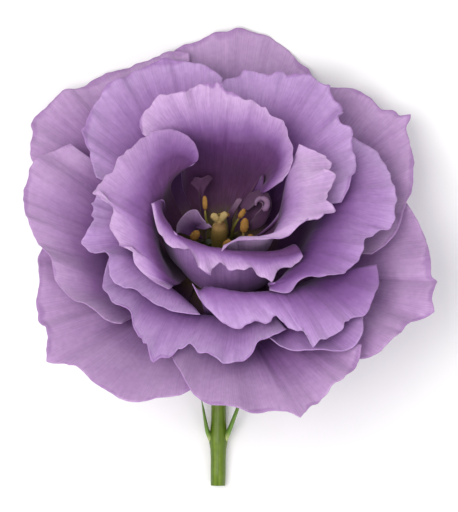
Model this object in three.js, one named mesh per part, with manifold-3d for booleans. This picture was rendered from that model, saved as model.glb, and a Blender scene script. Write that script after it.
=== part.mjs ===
// Lisianthus bloom lying on its back on a table, with its cut stem along -Y.
// Millimetres, +Z up, table at z = 0.
import * as THREE from 'three';
import Manifold from 'manifold-3d';

// ---- driving sizes -------------------------------------------------------
const LEAN = 30;                  // degrees between the bloom's axis and +Z, towards +Y
const SEAT = [-2.21, -1.11, 13.0];  // centre of the receptacle's top above the table
const BLADE = 0.7;                // petal thickness
const BREAKS = [0, 0.5, 1, 1.5, 2, 2.35, 2.7, 3];   // stations along a petal, claw 0 to rim 3

const rad = (d) => d * Math.PI / 180;
const SIN = Math.sin(rad(LEAN));
const COS = Math.cos(rad(LEAN));

// ---- the bloom's own frame: x right, s up the slope, h along the axis -----
// A plan point is given as seen from above (x, y) with its height h along the axis.
function fromPlan([x, y, h]) {
  return new THREE.Vector3(x, (y - SIN * h) / COS, h);
}

function toTable(p) {
  return new THREE.Vector3(
    SEAT[0] + p.x,
    SEAT[1] + COS * p.y + SIN * p.z,
    SEAT[2] - SIN * p.y + COS * p.z,
  );
}

// A place beside the seat in plan, at a height above the table.
function beside(x, y, z) {
  return new THREE.Vector3(SEAT[0] + x, SEAT[1] + y, z);
}

function ring(azimuth, radius, height) {
  return new THREE.Vector3(
    radius * Math.cos(rad(azimuth)),
    radius * Math.sin(rad(azimuth)),
    height,
  );
}

// ---- smooth curves through points ----------------------------------------
function slopeAt(points, i) {
  const last = points.length - 1;
  if (i === 0) {
    return points[1].clone().sub(points[0]).divideScalar(points[1].distanceTo(points[0]));
  }
  if (i === last) {
    return points[last].clone().sub(points[last - 1])
      .divideScalar(points[last].distanceTo(points[last - 1]));
  }
  const before = points[i].distanceTo(points[i - 1]);
  const after = points[i + 1].distanceTo(points[i]);
  const a = points[i].clone().sub(points[i - 1]).multiplyScalar(after / before);
  const b = points[i + 1].clone().sub(points[i]).multiplyScalar(before / after);
  return a.add(b).divideScalar(before + after);
}

function along(points, t) {
  const i = Math.min(Math.floor(t), points.length - 2);
  const u = t - i;
  const span = points[i + 1].distanceTo(points[i]);
  const a = slopeAt(points, i).multiplyScalar(span);
  const b = slopeAt(points, i + 1).multiplyScalar(span);
  const u2 = u * u;
  const u3 = u2 * u;
  return points[i].clone().multiplyScalar(2 * u3 - 3 * u2 + 1)
    .addScaledVector(a, u3 - 2 * u2 + u)
    .addScaledVector(points[i + 1], 3 * u2 - 2 * u3)
    .addScaledVector(b, u3 - u2);
}

const azimuthOf = (p) => Math.atan2(p.y, p.x) * 180 / Math.PI;

function turnBetween(from, to) {
  return ((to - from + 540) % 360 + 360) % 360 - 180;
}

// ---- a petal --------------------------------------------------------------
// How far the knee stands out beyond its ring, how much higher it lies and how far it is turned.
function bulgeAt(petal, v) {
  if (!petal.bulge) return [0, 0, 0];
  const place = v * (petal.bulge.length - 1);
  const i = Math.min(Math.floor(place), petal.bulge.length - 2);
  return [0, 1, 2].map((k) => (
    petal.bulge[i][k] + (place - i) * (petal.bulge[i + 1][k] - petal.bulge[i][k])
  ));
}

// One rib runs from the claw, over the knee and the bend, out to the rim.
function rib(petal, v) {
  const rim = along(petal.rimPoints, v * (petal.rimPoints.length - 1));
  const claw = ring(petal.azimuth + (v - 0.5) * petal.claw[2], petal.claw[0], petal.claw[1]);
  const rimTurn = turnBetween(petal.azimuth, azimuthOf(rim));
  let bend;
  if (petal.bendPoints) {
    bend = along(petal.bendPoints, v * (petal.bendPoints.length - 1));
  } else {
    const reach = Math.hypot(rim.x, rim.y) * petal.belly[0];
    bend = ring(petal.azimuth + 0.85 * rimTurn, reach, petal.belly[1]);
  }
  const bendTurn = turnBetween(petal.azimuth, azimuthOf(bend));
  const [swell, rise, twist] = bulgeAt(petal, v);
  const kneeTurn = petal.azimuth + petal.fan * bendTurn + twist;
  const knee = ring(kneeTurn, petal.knee[0] + swell, petal.knee[1] + rise);
  return [claw, knee, bend, rim];
}

// The edge of a petal is waved; the wave dies out towards the bend.
function wave(petal, t, v) {
  const [count, height, start] = petal.wave;
  const swell = Math.max(0, (t - 1.6) / 1.4);
  return height * swell * swell * Math.sin(2 * Math.PI * (count * v + start));
}

function petalGrid(petal, across, breaks) {
  const grid = [];
  for (let j = 0; j <= across; j++) {
    const v = j / across;
    const points = rib(petal, v);
    grid.push(breaks.map((t) => {
      const p = along(points, t);
      p.z += wave(petal, t, v);
      return toTable(p);
    }));
  }
  return grid;
}

function gridNormals(grid) {
  const last = grid.length - 1;
  return grid.map((line, j) => line.map((p, i) => {
    const before = grid[Math.max(j - 1, 0)][i];
    const after = grid[Math.min(j + 1, last)][i];
    const inner = line[Math.max(i - 1, 0)];
    const outer = line[Math.min(i + 1, line.length - 1)];
    const acrossWay = after.clone().sub(before).normalize();
    const outWay = outer.clone().sub(inner).normalize();
    return outWay.cross(acrossWay).normalize();
  }));
}

// A closed blade: both faces are split into the same triangles, half the thickness
// to either side of the grid, joined by a strip round the edge.
function blade(grid, thickness) {
  const normals = gridNormals(grid);
  const rows = grid.length;
  const cols = grid[0].length;
  const positions = [];
  for (const side of [1, -1]) {
    grid.forEach((line, j) => line.forEach((p, i) => {
      const q = p.clone().addScaledVector(normals[j][i], side * thickness / 2);
      positions.push(q.x, q.y, q.z);
    }));
  }
  const at = (side, j, i) => side * rows * cols + j * cols + i;
  const index = [];
  for (let j = 0; j < rows - 1; j++) {
    for (let i = 0; i < cols - 1; i++) {
      const [a, b, c, d] = [[j, i], [j, i + 1], [j + 1, i + 1], [j + 1, i]];
      index.push(at(0, ...a), at(0, ...b), at(0, ...c), at(0, ...a), at(0, ...c), at(0, ...d));
      index.push(at(1, ...a), at(1, ...c), at(1, ...b), at(1, ...a), at(1, ...d), at(1, ...c));
    }
  }
  const edge = [];
  for (let i = 0; i < cols - 1; i++) edge.push([0, i]);
  for (let j = 0; j < rows - 1; j++) edge.push([j, cols - 1]);
  for (let i = cols - 1; i > 0; i--) edge.push([rows - 1, i]);
  for (let j = rows - 1; j > 0; j--) edge.push([j, 0]);
  edge.forEach(([j, i], k) => {
    const [m, n] = edge[(k + 1) % edge.length];
    index.push(at(0, j, i), at(1, j, i), at(1, m, n));
    index.push(at(0, j, i), at(1, m, n), at(0, m, n));
  });
  return solid(positions, index);
}

function solid(positions, index) {
  const geometry = new THREE.BufferGeometry();
  geometry.setAttribute('position', new THREE.Float32BufferAttribute(positions, 3));
  geometry.setIndex(index);
  geometry.computeVertexNormals();
  return geometry;
}

// ---- petals, outermost first ----------------------------------------------
// rim and bend are [x, y, height along the axis] as seen from above the bloom.
const PETALS = [
  {
    name: 'petal_outer_top', azimuth: 86, shade: 0xb193bd,
    claw: [7.2, -0.2, 30], knee: [21, 3.2], fan: 0.7, belly: [0.62, 6.6], wave: [4, 0.4, 0.1],
    rim: [[20.5, 40.5, 12], [19.4, 42.4, 12], [17.8, 43.8, 12], [15, 46.6, 12.3], [11.2, 49.3, 14],
      [7.9, 50.6, 15.2], [4.2, 51.5, 15.6], [1.8, 50.6, 15.4], [-0.4, 50.6, 15.2],
      [-4.6, 48.8, 14.4], [-8.1, 47.3, 13.6], [-10.5, 45.4, 12], [-11.8, 42.8, 10.9],
      [-12.6, 40, 9.7]],
  },
  {
    name: 'petal_outer_lower_right', azimuth: 341, shade: 0xb395bb,
    claw: [7.2, -0.2, 30], knee: [21, 3.2], fan: 0.7, belly: [0.62, 6.6], wave: [4, 0.7, 0.35],
    rim: [[30.2, -21.4, 12.4], [32.6, -20.4, 12.6], [35, -19.4, 12.7], [37.4, -17.8, 12.8],
      [38.9, -16.1, 12.9], [41.6, -12.8, 12.6], [43.6, -12.2, 12.2], [46.4, -11, 12.4],
      [46.5, -8.4, 12.8], [47.1, -5.6, 13.2], [47.3, -4, 13.3], [46.4, -3.2, 13.2],
      [46.4, -1.3, 13], [45.8, 2.6, 12.7], [44.8, 6, 12.5], [43.6, 8.8, 12.3], [41.6, 11.8, 12.1],
      [40, 14, 12]],
  },
  {
    name: 'petal_outer_lower_left', azimuth: 226, shade: 0xb093bf,
    claw: [7.2, -0.2, 30], knee: [21, 3.2], fan: 0.7, belly: [0.62, 6.6], wave: [4, 0.7, 0.6],
    rim: [[-38, 4.4, 12.4], [-39.6, 1.4, 12.4], [-39.6, -2, 12.4], [-39.4, -5.1, 12.5],
      [-40, -9.6, 12.5], [-39.4, -12.4, 12.6], [-37.8, -15, 12.8], [-37.4, -18.2, 12.8],
      [-36.8, -20.8, 12.9], [-34.4, -21.7, 13], [-31, -22.7, 13], [-29, -25, 13],
      [-26.6, -26.9, 13], [-22.9, -28.6, 12.9], [-17.4, -30, 12.7], [-11.9, -30.1, 12.5],
      [-8.1, -28.9, 12.4], [-5.7, -27.3, 12.3]],
  },
  {
    name: 'petal_outer_upper_left', azimuth: 133, shade: 0xb294bf,
    claw: [7.2, -0.2, 30], knee: [20.4, 4.3], fan: 0.7, belly: [0.62, 8.5], wave: [4, 0.6, 0.2],
    rim: [[-6.6, 45.6, 15.4], [-10.3, 46.3, 14.5], [-14.1, 45.4, 12.2], [-18, 43.6, 11.1],
      [-22.4, 41.9, 10.8], [-26.8, 40.7, 11.2], [-30.1, 38.6, 11.8], [-33.4, 37.6, 12.4],
      [-36.1, 36, 12.9], [-38.6, 33.6, 13.2], [-41.1, 31, 13.4], [-40.7, 28.4, 13.5],
      [-41.6, 25.5, 13.4], [-41.2, 22.4, 13.3], [-38.8, 20, 13.1]],
  },
  {
    name: 'petal_outer_upper_right', azimuth: 31, shade: 0xb598bd,
    claw: [7.2, -0.2, 30], knee: [20.4, 4.3], fan: 0.7, belly: [0.62, 8], wave: [4, 0.6, 0.7],
    rim: [[33.2, 2, 14.4], [36.7, 4.4, 14.5], [39.4, 7.6, 14.6], [40.5, 10.6, 14.6], [41, 13, 14.6],
      [42.2, 16.6, 14.5], [42.5, 19.1, 14.4], [42.5, 22.5, 14.3], [41.6, 26, 14.2],
      [41.2, 29.4, 14.1], [41.3, 31.4, 14], [39.6, 31.8, 14], [38.2, 33.4, 13.9],
      [35.8, 33.6, 13.8], [33.4, 35.8, 13.6], [29.3, 37.8, 13.3], [24.6, 38.4, 13],
      [21.3, 38.8, 12.9]],
  },
  {
    name: 'petal_outer_bottom', azimuth: 285, shade: 0xb193c4,
    claw: [7.2, -0.2, 30], knee: [20.8, 4], fan: 0.7, belly: [0.62, 8], wave: [4, 0.7, 0],
    rim: [[-10.8, -19.6, 14.2], [-9.6, -22.8, 14.2], [-7.4, -26, 14.2], [-4.6, -28.8, 14.3],
      [-1.6, -30.8, 14.4], [2.4, -32.1, 14.4], [6.8, -32.7, 14.4], [10.8, -31.7, 14.4],
      [14.3, -32.3, 14.4], [17.4, -33.9, 14.4], [19.2, -32.2, 14.3], [21.3, -30.2, 14.3],
      [24, -28, 14.3], [26.8, -25.7, 14.2], [29.1, -23, 14.5], [30.4, -20.6, 14.8], [31, -18, 15]],
  },
  {
    name: 'petal_outer_left', azimuth: 180, shade: 0xad8ec1,
    claw: [7.2, -0.2, 30], knee: [19.9, 5.05], fan: 0.7, wave: [4.5, 0.7, 0.3],
    bend: [[-23.5, 18.8, 11.2], [-27.6, 10.4, 10.8], [-28, 2.2, 10.6], [-24, -6.2, 10.2],
      [-18.4, -11.4, 9.4]],
    rim: [[-32.6, 25.6, 15.6], [-35.4, 24.9, 15.6], [-38.4, 23.8, 15.4], [-40.8, 21.4, 15.3],
      [-42, 18.5, 15.2], [-42.9, 14.3, 15.2], [-42.4, 11, 15.2], [-41.2, 7.7, 15.2],
      [-39.8, 4.6, 15.2], [-38.2, 2.2, 15.2], [-36.7, -0.9, 15.2], [-35, -4.4, 15.2],
      [-32.3, -7.3, 15.2], [-28.8, -10.3, 15.2], [-25.1, -12.5, 15.2], [-21.3, -13, 15.2]],
  },
  {
    name: 'petal_middle_shaded', azimuth: 321, shade: 0x8f6aa3,
    claw: [5.9, 0.85, 20], knee: [19.4, 5.2], fan: 0.8, wave: [3, 0.4, 0.2],
    bend: [[8.4, -14.6, 10.4], [16.1, -11.3, 10.6], [21.7, -5.6, 10.4]],
    rim: [[10.2, -16.2, 15.5], [12.4, -17.5, 16], [14.5, -18.3, 16], [18.5, -19.5, 16],
      [22.2, -19.7, 16], [26.6, -18.9, 16], [29.6, -17.8, 16], [31.2, -15.6, 16], [31.4, -13, 16],
      [31, -10, 15.8], [30.4, -7, 15.5]],
  },
  {
    name: 'petal_middle_lower_left', azimuth: 250.2, shade: 0xa987c4,
    claw: [5.95, 0.86, 26], knee: [18.54, 5.33], fan: 0.8, wave: [4, 0.8, 0.5],
    bend: [[-19.3, -0.2, 11.8], [-14.8, -6.5, 12.6], [-7.2, -10.7, 12.8], [1.9, -12.2, 12.6],
      [10.3, -10.7, 12.2]],
    rim: [[-24, 1, 17], [-25.2, -2.9, 17], [-25, -6.2, 17], [-22.9, -9.4, 17.2],
      [-19.6, -11.6, 17.4], [-18, -14.7, 17.4], [-16.6, -17, 17.4], [-14.7, -20.5, 17.2],
      [-11.4, -20.7, 17.2], [-8.6, -18.8, 17.4], [-5.9, -18.4, 17.4], [-3.3, -20.4, 17.2],
      [0.7, -21.5, 17], [4.6, -20.9, 17], [8.1, -18.9, 17], [11.7, -16.5, 17], [14.6, -14.6, 17]],
  },
  {
    name: 'petal_middle_upper_left', azimuth: 118, shade: 0xab8cc3,
    claw: [5.7, 1.15, 26], knee: [17.6, 6.6], fan: 0.8, belly: [0.6, 12.4], wave: [4, 0.8, 0.15],
    rim: [[0.7, 40, 19.6], [-2.4, 42.6, 19.2], [-6.4, 44.2, 18.6], [-9.4, 44.6, 18.2],
      [-12.1, 44.4, 18], [-15.2, 43.4, 17.8], [-18, 42.3, 17.6], [-21.3, 40.4, 17.6],
      [-24, 39, 17.6], [-26.2, 36.5, 17.6], [-28.2, 33.4, 17.6], [-29.3, 30.1, 17.6],
      [-29.7, 26.8, 17.7], [-28.4, 24.2, 17.8], [-27.5, 21.3, 17.8], [-27, 18.2, 17.8]],
  },
  {
    name: 'petal_middle_left', azimuth: 208, shade: 0xa988c8,
    claw: [5.4, 1.55, 26], knee: [17, 6.8], fan: 0.8, wave: [3.5, 0.7, 0.4],
    bend: [[-18.6, 13.3, 17.2], [-19.8, 9.8, 17.2], [-20.4, 6.6, 17.2], [-20.4, 3.8, 17.2],
      [-19.2, 1.6, 17.2], [-17, -0.7, 17.2], [-14.2, -3.1, 17.2], [-10.9, -5.6, 17],
      [-5.6, -9.8, 15.6]],
    rim: [[-24.6, 19, 19], [-26.6, 15.4, 19], [-27.6, 12.2, 19], [-27.2, 9.7, 19], [-28.8, 7, 19],
      [-29.6, 4.4, 19], [-27.4, 2, 19.2], [-24.6, 1.3, 19.4], [-24.2, -1.3, 19.2],
      [-22.7, -4.2, 19.2], [-19.6, -5.9, 19.2], [-16.7, -7.1, 19.2], [-13.4, -9.2, 19.2],
      [-9.5, -10.5, 19], [-4.2, -11.2, 19]],
  },
  {
    name: 'petal_middle_front', azimuth: 289.4, shade: 0xae8dca,
    claw: [5.71, 1.51, 26], knee: [16.98, 6.18], fan: 0.8, wave: [3.5, 0.6, 0.1],
    bend: [[-4.9, -6.2, 18.6], [-0.9, -6.2, 22.2], [5.7, -7, 22], [12.3, -7, 21],
      [17.8, -6.4, 19.4], [22.7, -4.6, 18], [25.6, -2.2, 17.4]],
    rim: [[-5.9, -4.9, 22.2], [-3.9, -8.6, 20.2], [-0.4, -12.1, 19.4], [4.2, -14.3, 19],
      [6.8, -13, 19.2], [9.9, -13.4, 19.2], [12.5, -11.9, 19.2], [15, -14.1, 19],
      [17.6, -14.7, 18.9], [19.9, -18, 18.6], [23.3, -16.9, 18.4], [26.2, -15, 18.4],
      [27.8, -12.4, 18.3], [31.5, -11.4, 18], [33.7, -7.9, 18], [34.8, -4, 17.6], [34.3, -0.4, 17.4]],
  },
  {
    name: 'petal_middle_right', azimuth: 2.9, shade: 0xaf8fcb,
    claw: [5.41, 1.5, 26], knee: [16.03, 7.29], fan: 0.8, wave: [3.5, 0.7, 0.6],
    bend: [[10.6, -5.3, 20.4], [13.4, -4.4, 22.8], [17.8, -1.2, 22.4], [20, 2.2, 22],
      [21.8, 5.9, 21.4], [24.4, 10.1, 20.8], [26.6, 14.1, 20.4], [27, 19.1, 19.8],
      [26.4, 22.6, 19.2]],
    rim: [[10.8, -7.1, 23.6], [15.2, -6.3, 22.6], [17.3, -4.3, 22], [20, -3.3, 21.4],
      [24, -3.3, 21], [27.1, -2, 20.8], [29.7, -0.2, 20.6], [31.4, 2.6, 20.4], [32.2, 5.3, 20.2],
      [35, 6.9, 20], [37.2, 7.7, 19.8], [38.4, 10.8, 19.8], [38.5, 14.7, 19.6], [37.2, 19.1, 19.2],
      [35.2, 23.6, 18.6], [32.1, 26.2, 18], [29, 27.2, 17.6]],
  },
  {
    name: 'petal_middle_upper_right', azimuth: 44.9, shade: 0xb090c9,
    claw: [5.13, 1.91, 26], knee: [14.71, 8.73], fan: 0.8, belly: [0.62, 18.6], wave: [4, 0.8, 0],
    rim: [[26.6, 13, 23.6], [28.6, 16.4, 23.6], [29.7, 20, 23.6], [29.6, 23.4, 23.6],
      [28.8, 26.4, 23.4], [28.8, 28.6, 23.2], [26.7, 31.2, 23], [26.4, 33.9, 22.8],
      [24.6, 36.7, 22.4], [22.4, 39.2, 22], [18.8, 41.2, 21.8], [14.5, 41.6, 21.8],
      [9.7, 40.9, 21.8], [5.7, 41.6, 21.6], [2.4, 40.9, 21.4], [-0.4, 38.6, 21.4]],
  },
  {
    name: 'petal_inner_back', azimuth: 92, shade: 0xa483c0,
    claw: [4.7, 2.3, 46], knee: [13.1, 9.55], fan: 0.9, wave: [5, 0.6, 0.2],
    bend: [[15.2, 11.6, 15.5], [16, 17.2, 19.5], [13.4, 22.8, 22], [7.8, 25.2, 23.2],
      [2.9, 26.2, 23.2], [0.5, 27.6, 23.2], [-1.6, 28.2, 23.2], [-4.1, 27.8, 23.2],
      [-6.9, 26.7, 23.2], [-9.3, 25.4, 23.2], [-9.8, 22.8, 23.2]],
    rim: [[17.2, 14.4, 20], [17.6, 17.5, 22.5], [16.8, 22.5, 25], [15.4, 27, 26.6],
      [13.6, 31, 27.6], [9.9, 33.4, 28], [7.3, 35.4, 28], [4, 35.9, 28], [2.2, 37.6, 28],
      [0.2, 38.9, 28], [-2, 38.2, 28], [-4.6, 39.2, 28], [-6.4, 37.8, 28], [-10.3, 37, 27.8],
      [-13.3, 35.8, 27.4], [-16, 33.6, 26.4], [-17.4, 30.8, 25.4], [-16.9, 27.7, 24.4]],
  },
  {
    name: 'petal_inner_left', azimuth: 172, shade: 0xae8ecb,
    claw: [4.3, 2.9, 46], knee: [12.4, 9.8], fan: 0.9, wave: [4.5, 0.8, 0.5],
    bend: [[-5.4, 22.2, 26.4], [-9.4, 20, 26.6], [-12.5, 16.5, 26.6], [-14.7, 12.1, 26.4],
      [-15.2, 7.5, 26.2], [-14.5, 2.6, 25.6], [-12.4, -2.6, 24], [-10, -5.2, 19.2]],
    rim: [[-4.4, 23, 27.4], [-6.4, 26.8, 27.4], [-10.3, 28.7, 27.2], [-15.2, 28.2, 26.6],
      [-18.5, 25.8, 25.8], [-21.6, 22.2, 25], [-25, 18.9, 24.2], [-27.8, 15.8, 23.6],
      [-25.5, 13.4, 23.8], [-23, 11.7, 24], [-23.6, 8.1, 23.6], [-21.7, 4.6, 23.6], [-19.2, 3, 24],
      [-18.6, 0, 24], [-15.6, -2.9, 23.8], [-11, -5.9, 23.8]],
  },
  {
    name: 'petal_inner_front', azimuth: 252, shade: 0xa583c2,
    claw: [3.9, 3.6, 46], knee: [11.3, 10.5], fan: 0.9, wave: [4.5, 0.5, 0.3],
    bulge: [[0, 0, 0], [0, 0, 0], [0, 0, 0], [1.2, -0.8, 0], [2.3, -1.9, 0], [2.8, -2.1, 0],
      [3, -1.8, 0], [2.9, -1.3, 0]],
    bend: [[-14, 13, 28], [-12.3, 9, 28], [-9, 5.7, 27.6], [-4.2, 3.5, 27], [0.7, 2.4, 26.6],
      [6.8, 1.6, 26.4], [12.3, 1.6, 26], [17.6, 2.6, 25.2]],
    rim: [[-14.8, 12.5, 27.8], [-13.8, 8.4, 27], [-12.5, 5.5, 26.2], [-10.5, 3.2, 25.4],
      [-7.2, 2.5, 24.6], [-5.1, 0.4, 24], [-2.4, -2.2, 23.2], [0.3, 0, 23.8], [2.6, -1.9, 23.2],
      [5.3, -1, 23.2], [8.4, -2.9, 22.8], [11.2, -2.7, 22.8], [14.2, -1.8, 23], [16.9, -0.3, 23.4],
      [18.2, 1.5, 24.4]],
  },
  {
    name: 'petal_inner_right', azimuth: 336, shade: 0xb799d2,
    claw: [3.4, 4.5, 46], knee: [10.1, 11.4], fan: 0.9, wave: [3.5, 0.5, 0.6],
    bulge: [[0, 0, 0], [0, 0, 0], [0, 0, 0], [0, 0, 0], [0, 0, 2], [0.2, 0, 5], [0.4, 0, 10],
      [0.5, 0, 15]],
    bend: [[0.9, 3.4, 27.4], [4.6, 5.2, 28], [8.6, 5.6, 28.4], [12.6, 6.6, 28.6], [15.6, 8.8, 28.8],
      [16.9, 12.4, 29], [16.9, 16.4, 29], [16, 20.6, 28.8], [15.6, 22.8, 26.4]],
    rim: [[0.5, 2.5, 28.6], [2.4, 4.3, 29.4], [6.8, 4.6, 29.8], [11.2, 5, 29.8], [14.6, 6.1, 29.6],
      [16.9, 7.6, 29.4], [19.3, 9, 29], [22.2, 9.3, 28.6], [24.2, 11.2, 28.2], [23.7, 14.6, 28.2],
      [24.6, 17.2, 28], [23.6, 19, 28], [24.3, 21, 28], [21.4, 24.2, 28], [17.4, 25.6, 28]],
  },
];

// ---- petaloids: small petals half hidden in the throat ----------------------
const PETALOIDS = [
  {
    name: 'petaloid_left', azimuth: 137, shade: 0x6a4a72,
    claw: [4.6, 3.8, 10], knee: [6.6, 7.6], fan: 0.8, wave: [1, 0, 0],
    bend: [[-8.6, 6.4, 9.4], [-7.6, 8, 10.6], [-5.6, 9, 11], [-3.8, 8.8, 10.4], [-2.6, 7.6, 8.8]],
    rim: [[-9.4, 6.2, 10.6], [-9.3, 8, 12], [-8.2, 9.6, 13.2], [-6.4, 10.8, 13.8],
      [-4.6, 11.2, 13.4], [-3.4, 10, 11.8], [-2, 8, 9.4]],
  },
  {
    name: 'petaloid_curled', azimuth: 125, shade: 0x5d4063,
    claw: [4.6, 3.8, 8], knee: [8.2, 7.4], fan: 0.8, wave: [1, 0, 0],
    bend: [[-5.6, 14.2, 13.4], [-4.4, 15.6, 14], [-2.6, 15.8, 14.2], [-1.4, 15.4, 14]],
    rim: [[-6, 16.4, 15.8], [-5.2, 17.8, 16.4], [-3.6, 18.8, 17], [-2.2, 18.4, 17],
      [-1.2, 18.2, 16.6]],
  },
  {
    name: 'petaloid_right', azimuth: 49.7, shade: 0x6e4f78,
    claw: [4.39, 4.34, 18], knee: [6.78, 10.48], fan: 0.6, wave: [1, 0, 0],
    bend: [[4.2, 12.3, 13], [6.4, 14.6, 15.5], [9, 15.4, 18], [10.6, 14.6, 19.3], [11, 12.8, 19.3],
      [10.4, 10.6, 18], [9.4, 8.3, 15], [7, 7, 11.6]],
    rim: [[4.9, 12, 14.4], [6.9, 13.4, 17.2], [8.4, 13.9, 19.6], [10, 13.8, 20.8],
      [10.7, 12.7, 20.8], [10.2, 11.4, 20], [9.2, 10.4, 18.4], [8.2, 9, 15.4], [7.1, 7.8, 12.6]],
  },
  {
    name: 'petaloid_strip', azimuth: 63.7, shade: 0x8a6a92,
    claw: [4.35, 4.12, 8], knee: [5.2, 7.21], fan: 0.5, wave: [1, 0, 0],
    bend: [[1.7, 10.2, 12], [2.3, 10, 12], [2.9, 9.8, 12]],
    rim: [[3.9, 13.8, 16.2], [4.4, 13.8, 16.4], [4.9, 13.6, 16.2]],
  },
];

const lisianthus = new THREE.Group();
lisianthus.name = 'lisianthus';

function add(name, geometry, colour, roughness) {
  const material = new THREE.MeshStandardMaterial({ color: colour, roughness, metalness: 0 });
  material.name = name + '_surface';
  const mesh = new THREE.Mesh(geometry, material);
  mesh.name = name;
  lisianthus.add(mesh);
}

function ready(petal) {
  return {
    ...petal,
    rimPoints: petal.rim.map(fromPlan),
    bendPoints: petal.bend ? petal.bend.map(fromPlan) : null,
  };
}

for (const petal of PETALS.map(ready)) {
  add(petal.name, blade(petalGrid(petal, petal.rim.length - 1, BREAKS), BLADE), petal.shade, 0.7);
}
for (const petal of PETALOIDS.map(ready)) {
  add(petal.name, blade(petalGrid(petal, petal.rim.length - 1, BREAKS), BLADE), petal.shade, 0.7);
}

// ---- round pieces swept along a path ----------------------------------------
// Each ring: centre, the path's direction there, radius across x and radius square to it.
function tube(rings, sides) {
  const positions = [];
  const index = [];
  const first = rings[0].centre;
  const last = rings[rings.length - 1].centre;
  positions.push(first.x, first.y, first.z);
  for (const { centre, way, wide, deep } of rings) {
    const across = new THREE.Vector3(1, 0, 0).addScaledVector(way, -way.x).normalize();
    const square = way.clone().cross(across);
    for (let k = 0; k < sides; k++) {
      const turn = 2 * Math.PI * k / sides;
      const p = centre.clone()
        .addScaledVector(across, wide * Math.cos(turn))
        .addScaledVector(square, deep * Math.sin(turn));
      positions.push(p.x, p.y, p.z);
    }
  }
  positions.push(last.x, last.y, last.z);
  const end = rings.length * sides + 1;
  for (let k = 0; k < sides; k++) {
    const next = (k + 1) % sides;
    index.push(0, 1 + next, 1 + k);
    index.push(end, end - sides + k, end - sides + next);
    for (let m = 0; m < rings.length - 1; m++) {
      const a = 1 + m * sides;
      const b = a + sides;
      index.push(a + k, a + next, b + next, a + k, b + next, b + k);
    }
  }
  return solid(positions, index);
}

function ringsAlong(centres, radii, depths) {
  return centres.map((centre, k) => {
    const before = centres[Math.max(k - 1, 0)];
    const after = centres[Math.min(k + 1, centres.length - 1)];
    return {
      centre,
      way: after.clone().sub(before).normalize(),
      wide: radii[k],
      deep: depths ? depths[k] : radii[k],
    };
  });
}

// ---- pistil: ovary, style and two-lobed stigma grown as one ------------------
const PISTIL = [    // height along the axis, radius along x, radius square to it
  [4.3, 1.0, 1.0], [5.4, 1.5, 1.5], [8, 1.75, 1.75], [11.5, 1.75, 1.75], [14.5, 1.5, 1.5],
  [16, 1.0, 1.0], [17, 0.75, 0.75], [17.8, 1.2, 0.9], [18.6, 1.7, 1.1], [19.4, 1.75, 1.1],
  [20, 1.1, 0.6],
];

const axisWay = toTable(new THREE.Vector3(0, 0, 1)).sub(toTable(new THREE.Vector3(0, 0, 0)));
add('pistil', tube(PISTIL.map(([h, wide, deep]) => ({
  centre: toTable(new THREE.Vector3(0, 0, h)), way: axisWay, wide, deep,
})), 14), 0xb9a06a, 0.6);

// ---- stamens: a filament ending in an anther --------------------------------
const STAMENS = [   // azimuth of the foot, anther's foot and tip as [x, y, height], girth
  [121, [-3.1, 11.4, 15.4], [-3.2, 14.5, 17.4], 0.55],
  [75, [0.4, 10.4, 15.2], [2, 10.3, 17.4], 0.75],
  [32, [4.3, 9.6, 14.8], [5.6, 11.6, 16.6], 0.6],
  [0, [5.3, 6.4, 13.4], [5.7, 9.6, 16], 0.9],
  [192, [-6, 4.8, 12], [-4.6, 6.8, 14], 0.95],
  [290, [1, 3.2, 12.6], [2.4, 4.8, 14.6], 0.8],
  [336, [6, 4.4, 12], [7.2, 6, 13.6], 0.7],
];

STAMENS.forEach(([azimuth, foot, tip, girth], k) => {
  const base = ring(azimuth, 2.3, 4.35);
  const low = fromPlan(foot);
  const high = fromPlan(tip);
  const shoulder = ring(azimuth, 3.0, 8);
  const neck = low.clone().add(low.clone().sub(high).normalize().multiplyScalar(0.8));
  const path = [base, shoulder, neck, low, low.clone().lerp(high, 0.35),
    low.clone().lerp(high, 0.75), high];
  const radii = [0.3, 0.3, 0.3, 0.45 * girth + 0.1, girth, 0.92 * girth, 0.4 * girth];
  add(`stamen_${k + 1}`, tube(ringsAlong(path.map(toTable), radii), 7), 0xb58a3c, 0.75);
});

// ---- stem with the receptacle, sepals and bracts it carries ------------------
const STEM_RADIUS = 1.65;
const NECK_BEND = 7;              // radius of the bend below the bloom
const CUT_END = beside(-0.33, -49.14, STEM_RADIUS);   // middle of the cut

const RECEPTACLE = [   // height along the axis, radius
  [4.0, 2.9], [1.9, 4.2], [0.75, 5.1], [-0.35, 6.4], [-1.4, 7.4], [-2.3, 6.6], [-3.4, 4.6],
  [-4.8, 3.0], [-6.5, 2.2],
];

function stemRings() {
  const rings = RECEPTACLE.map(([h, radius]) => ({
    centre: toTable(new THREE.Vector3(0, 0, h)),
    way: axisWay.clone().negate(),
    wide: radius,
    deep: radius,
  }));
  const top = toTable(new THREE.Vector3(0, 0, -6.5));
  const steps = 4;
  for (let k = 1; k <= steps; k++) {
    const turn = rad(60) * k / steps;
    const forward = axisWay.clone().negate();
    const aside = new THREE.Vector3(0, -COS, SIN);
    const centre = top.clone()
      .addScaledVector(forward, NECK_BEND * Math.sin(turn))
      .addScaledVector(aside, NECK_BEND * (1 - Math.cos(turn)));
    const way = forward.multiplyScalar(Math.cos(turn)).addScaledVector(aside, Math.sin(turn));
    const radius = 2.2 - 0.5 * k / steps;
    rings.push({ centre, way, wide: radius, deep: radius });
  }
  const bent = rings[rings.length - 1].centre;
  const way = CUT_END.clone().sub(bent).normalize();
  const swelling = [[0.3, 1.6], [0.64, 1.65], [0.7, 1.85], [0.74, 2.05], [0.78, 1.8],
    [0.84, 1.65], [1, 1.65]];
  for (const [t, radius] of swelling) {
    rings.push({ centre: bent.clone().lerp(CUT_END, t), way, wide: radius, deep: radius });
  }
  return rings;
}

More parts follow.
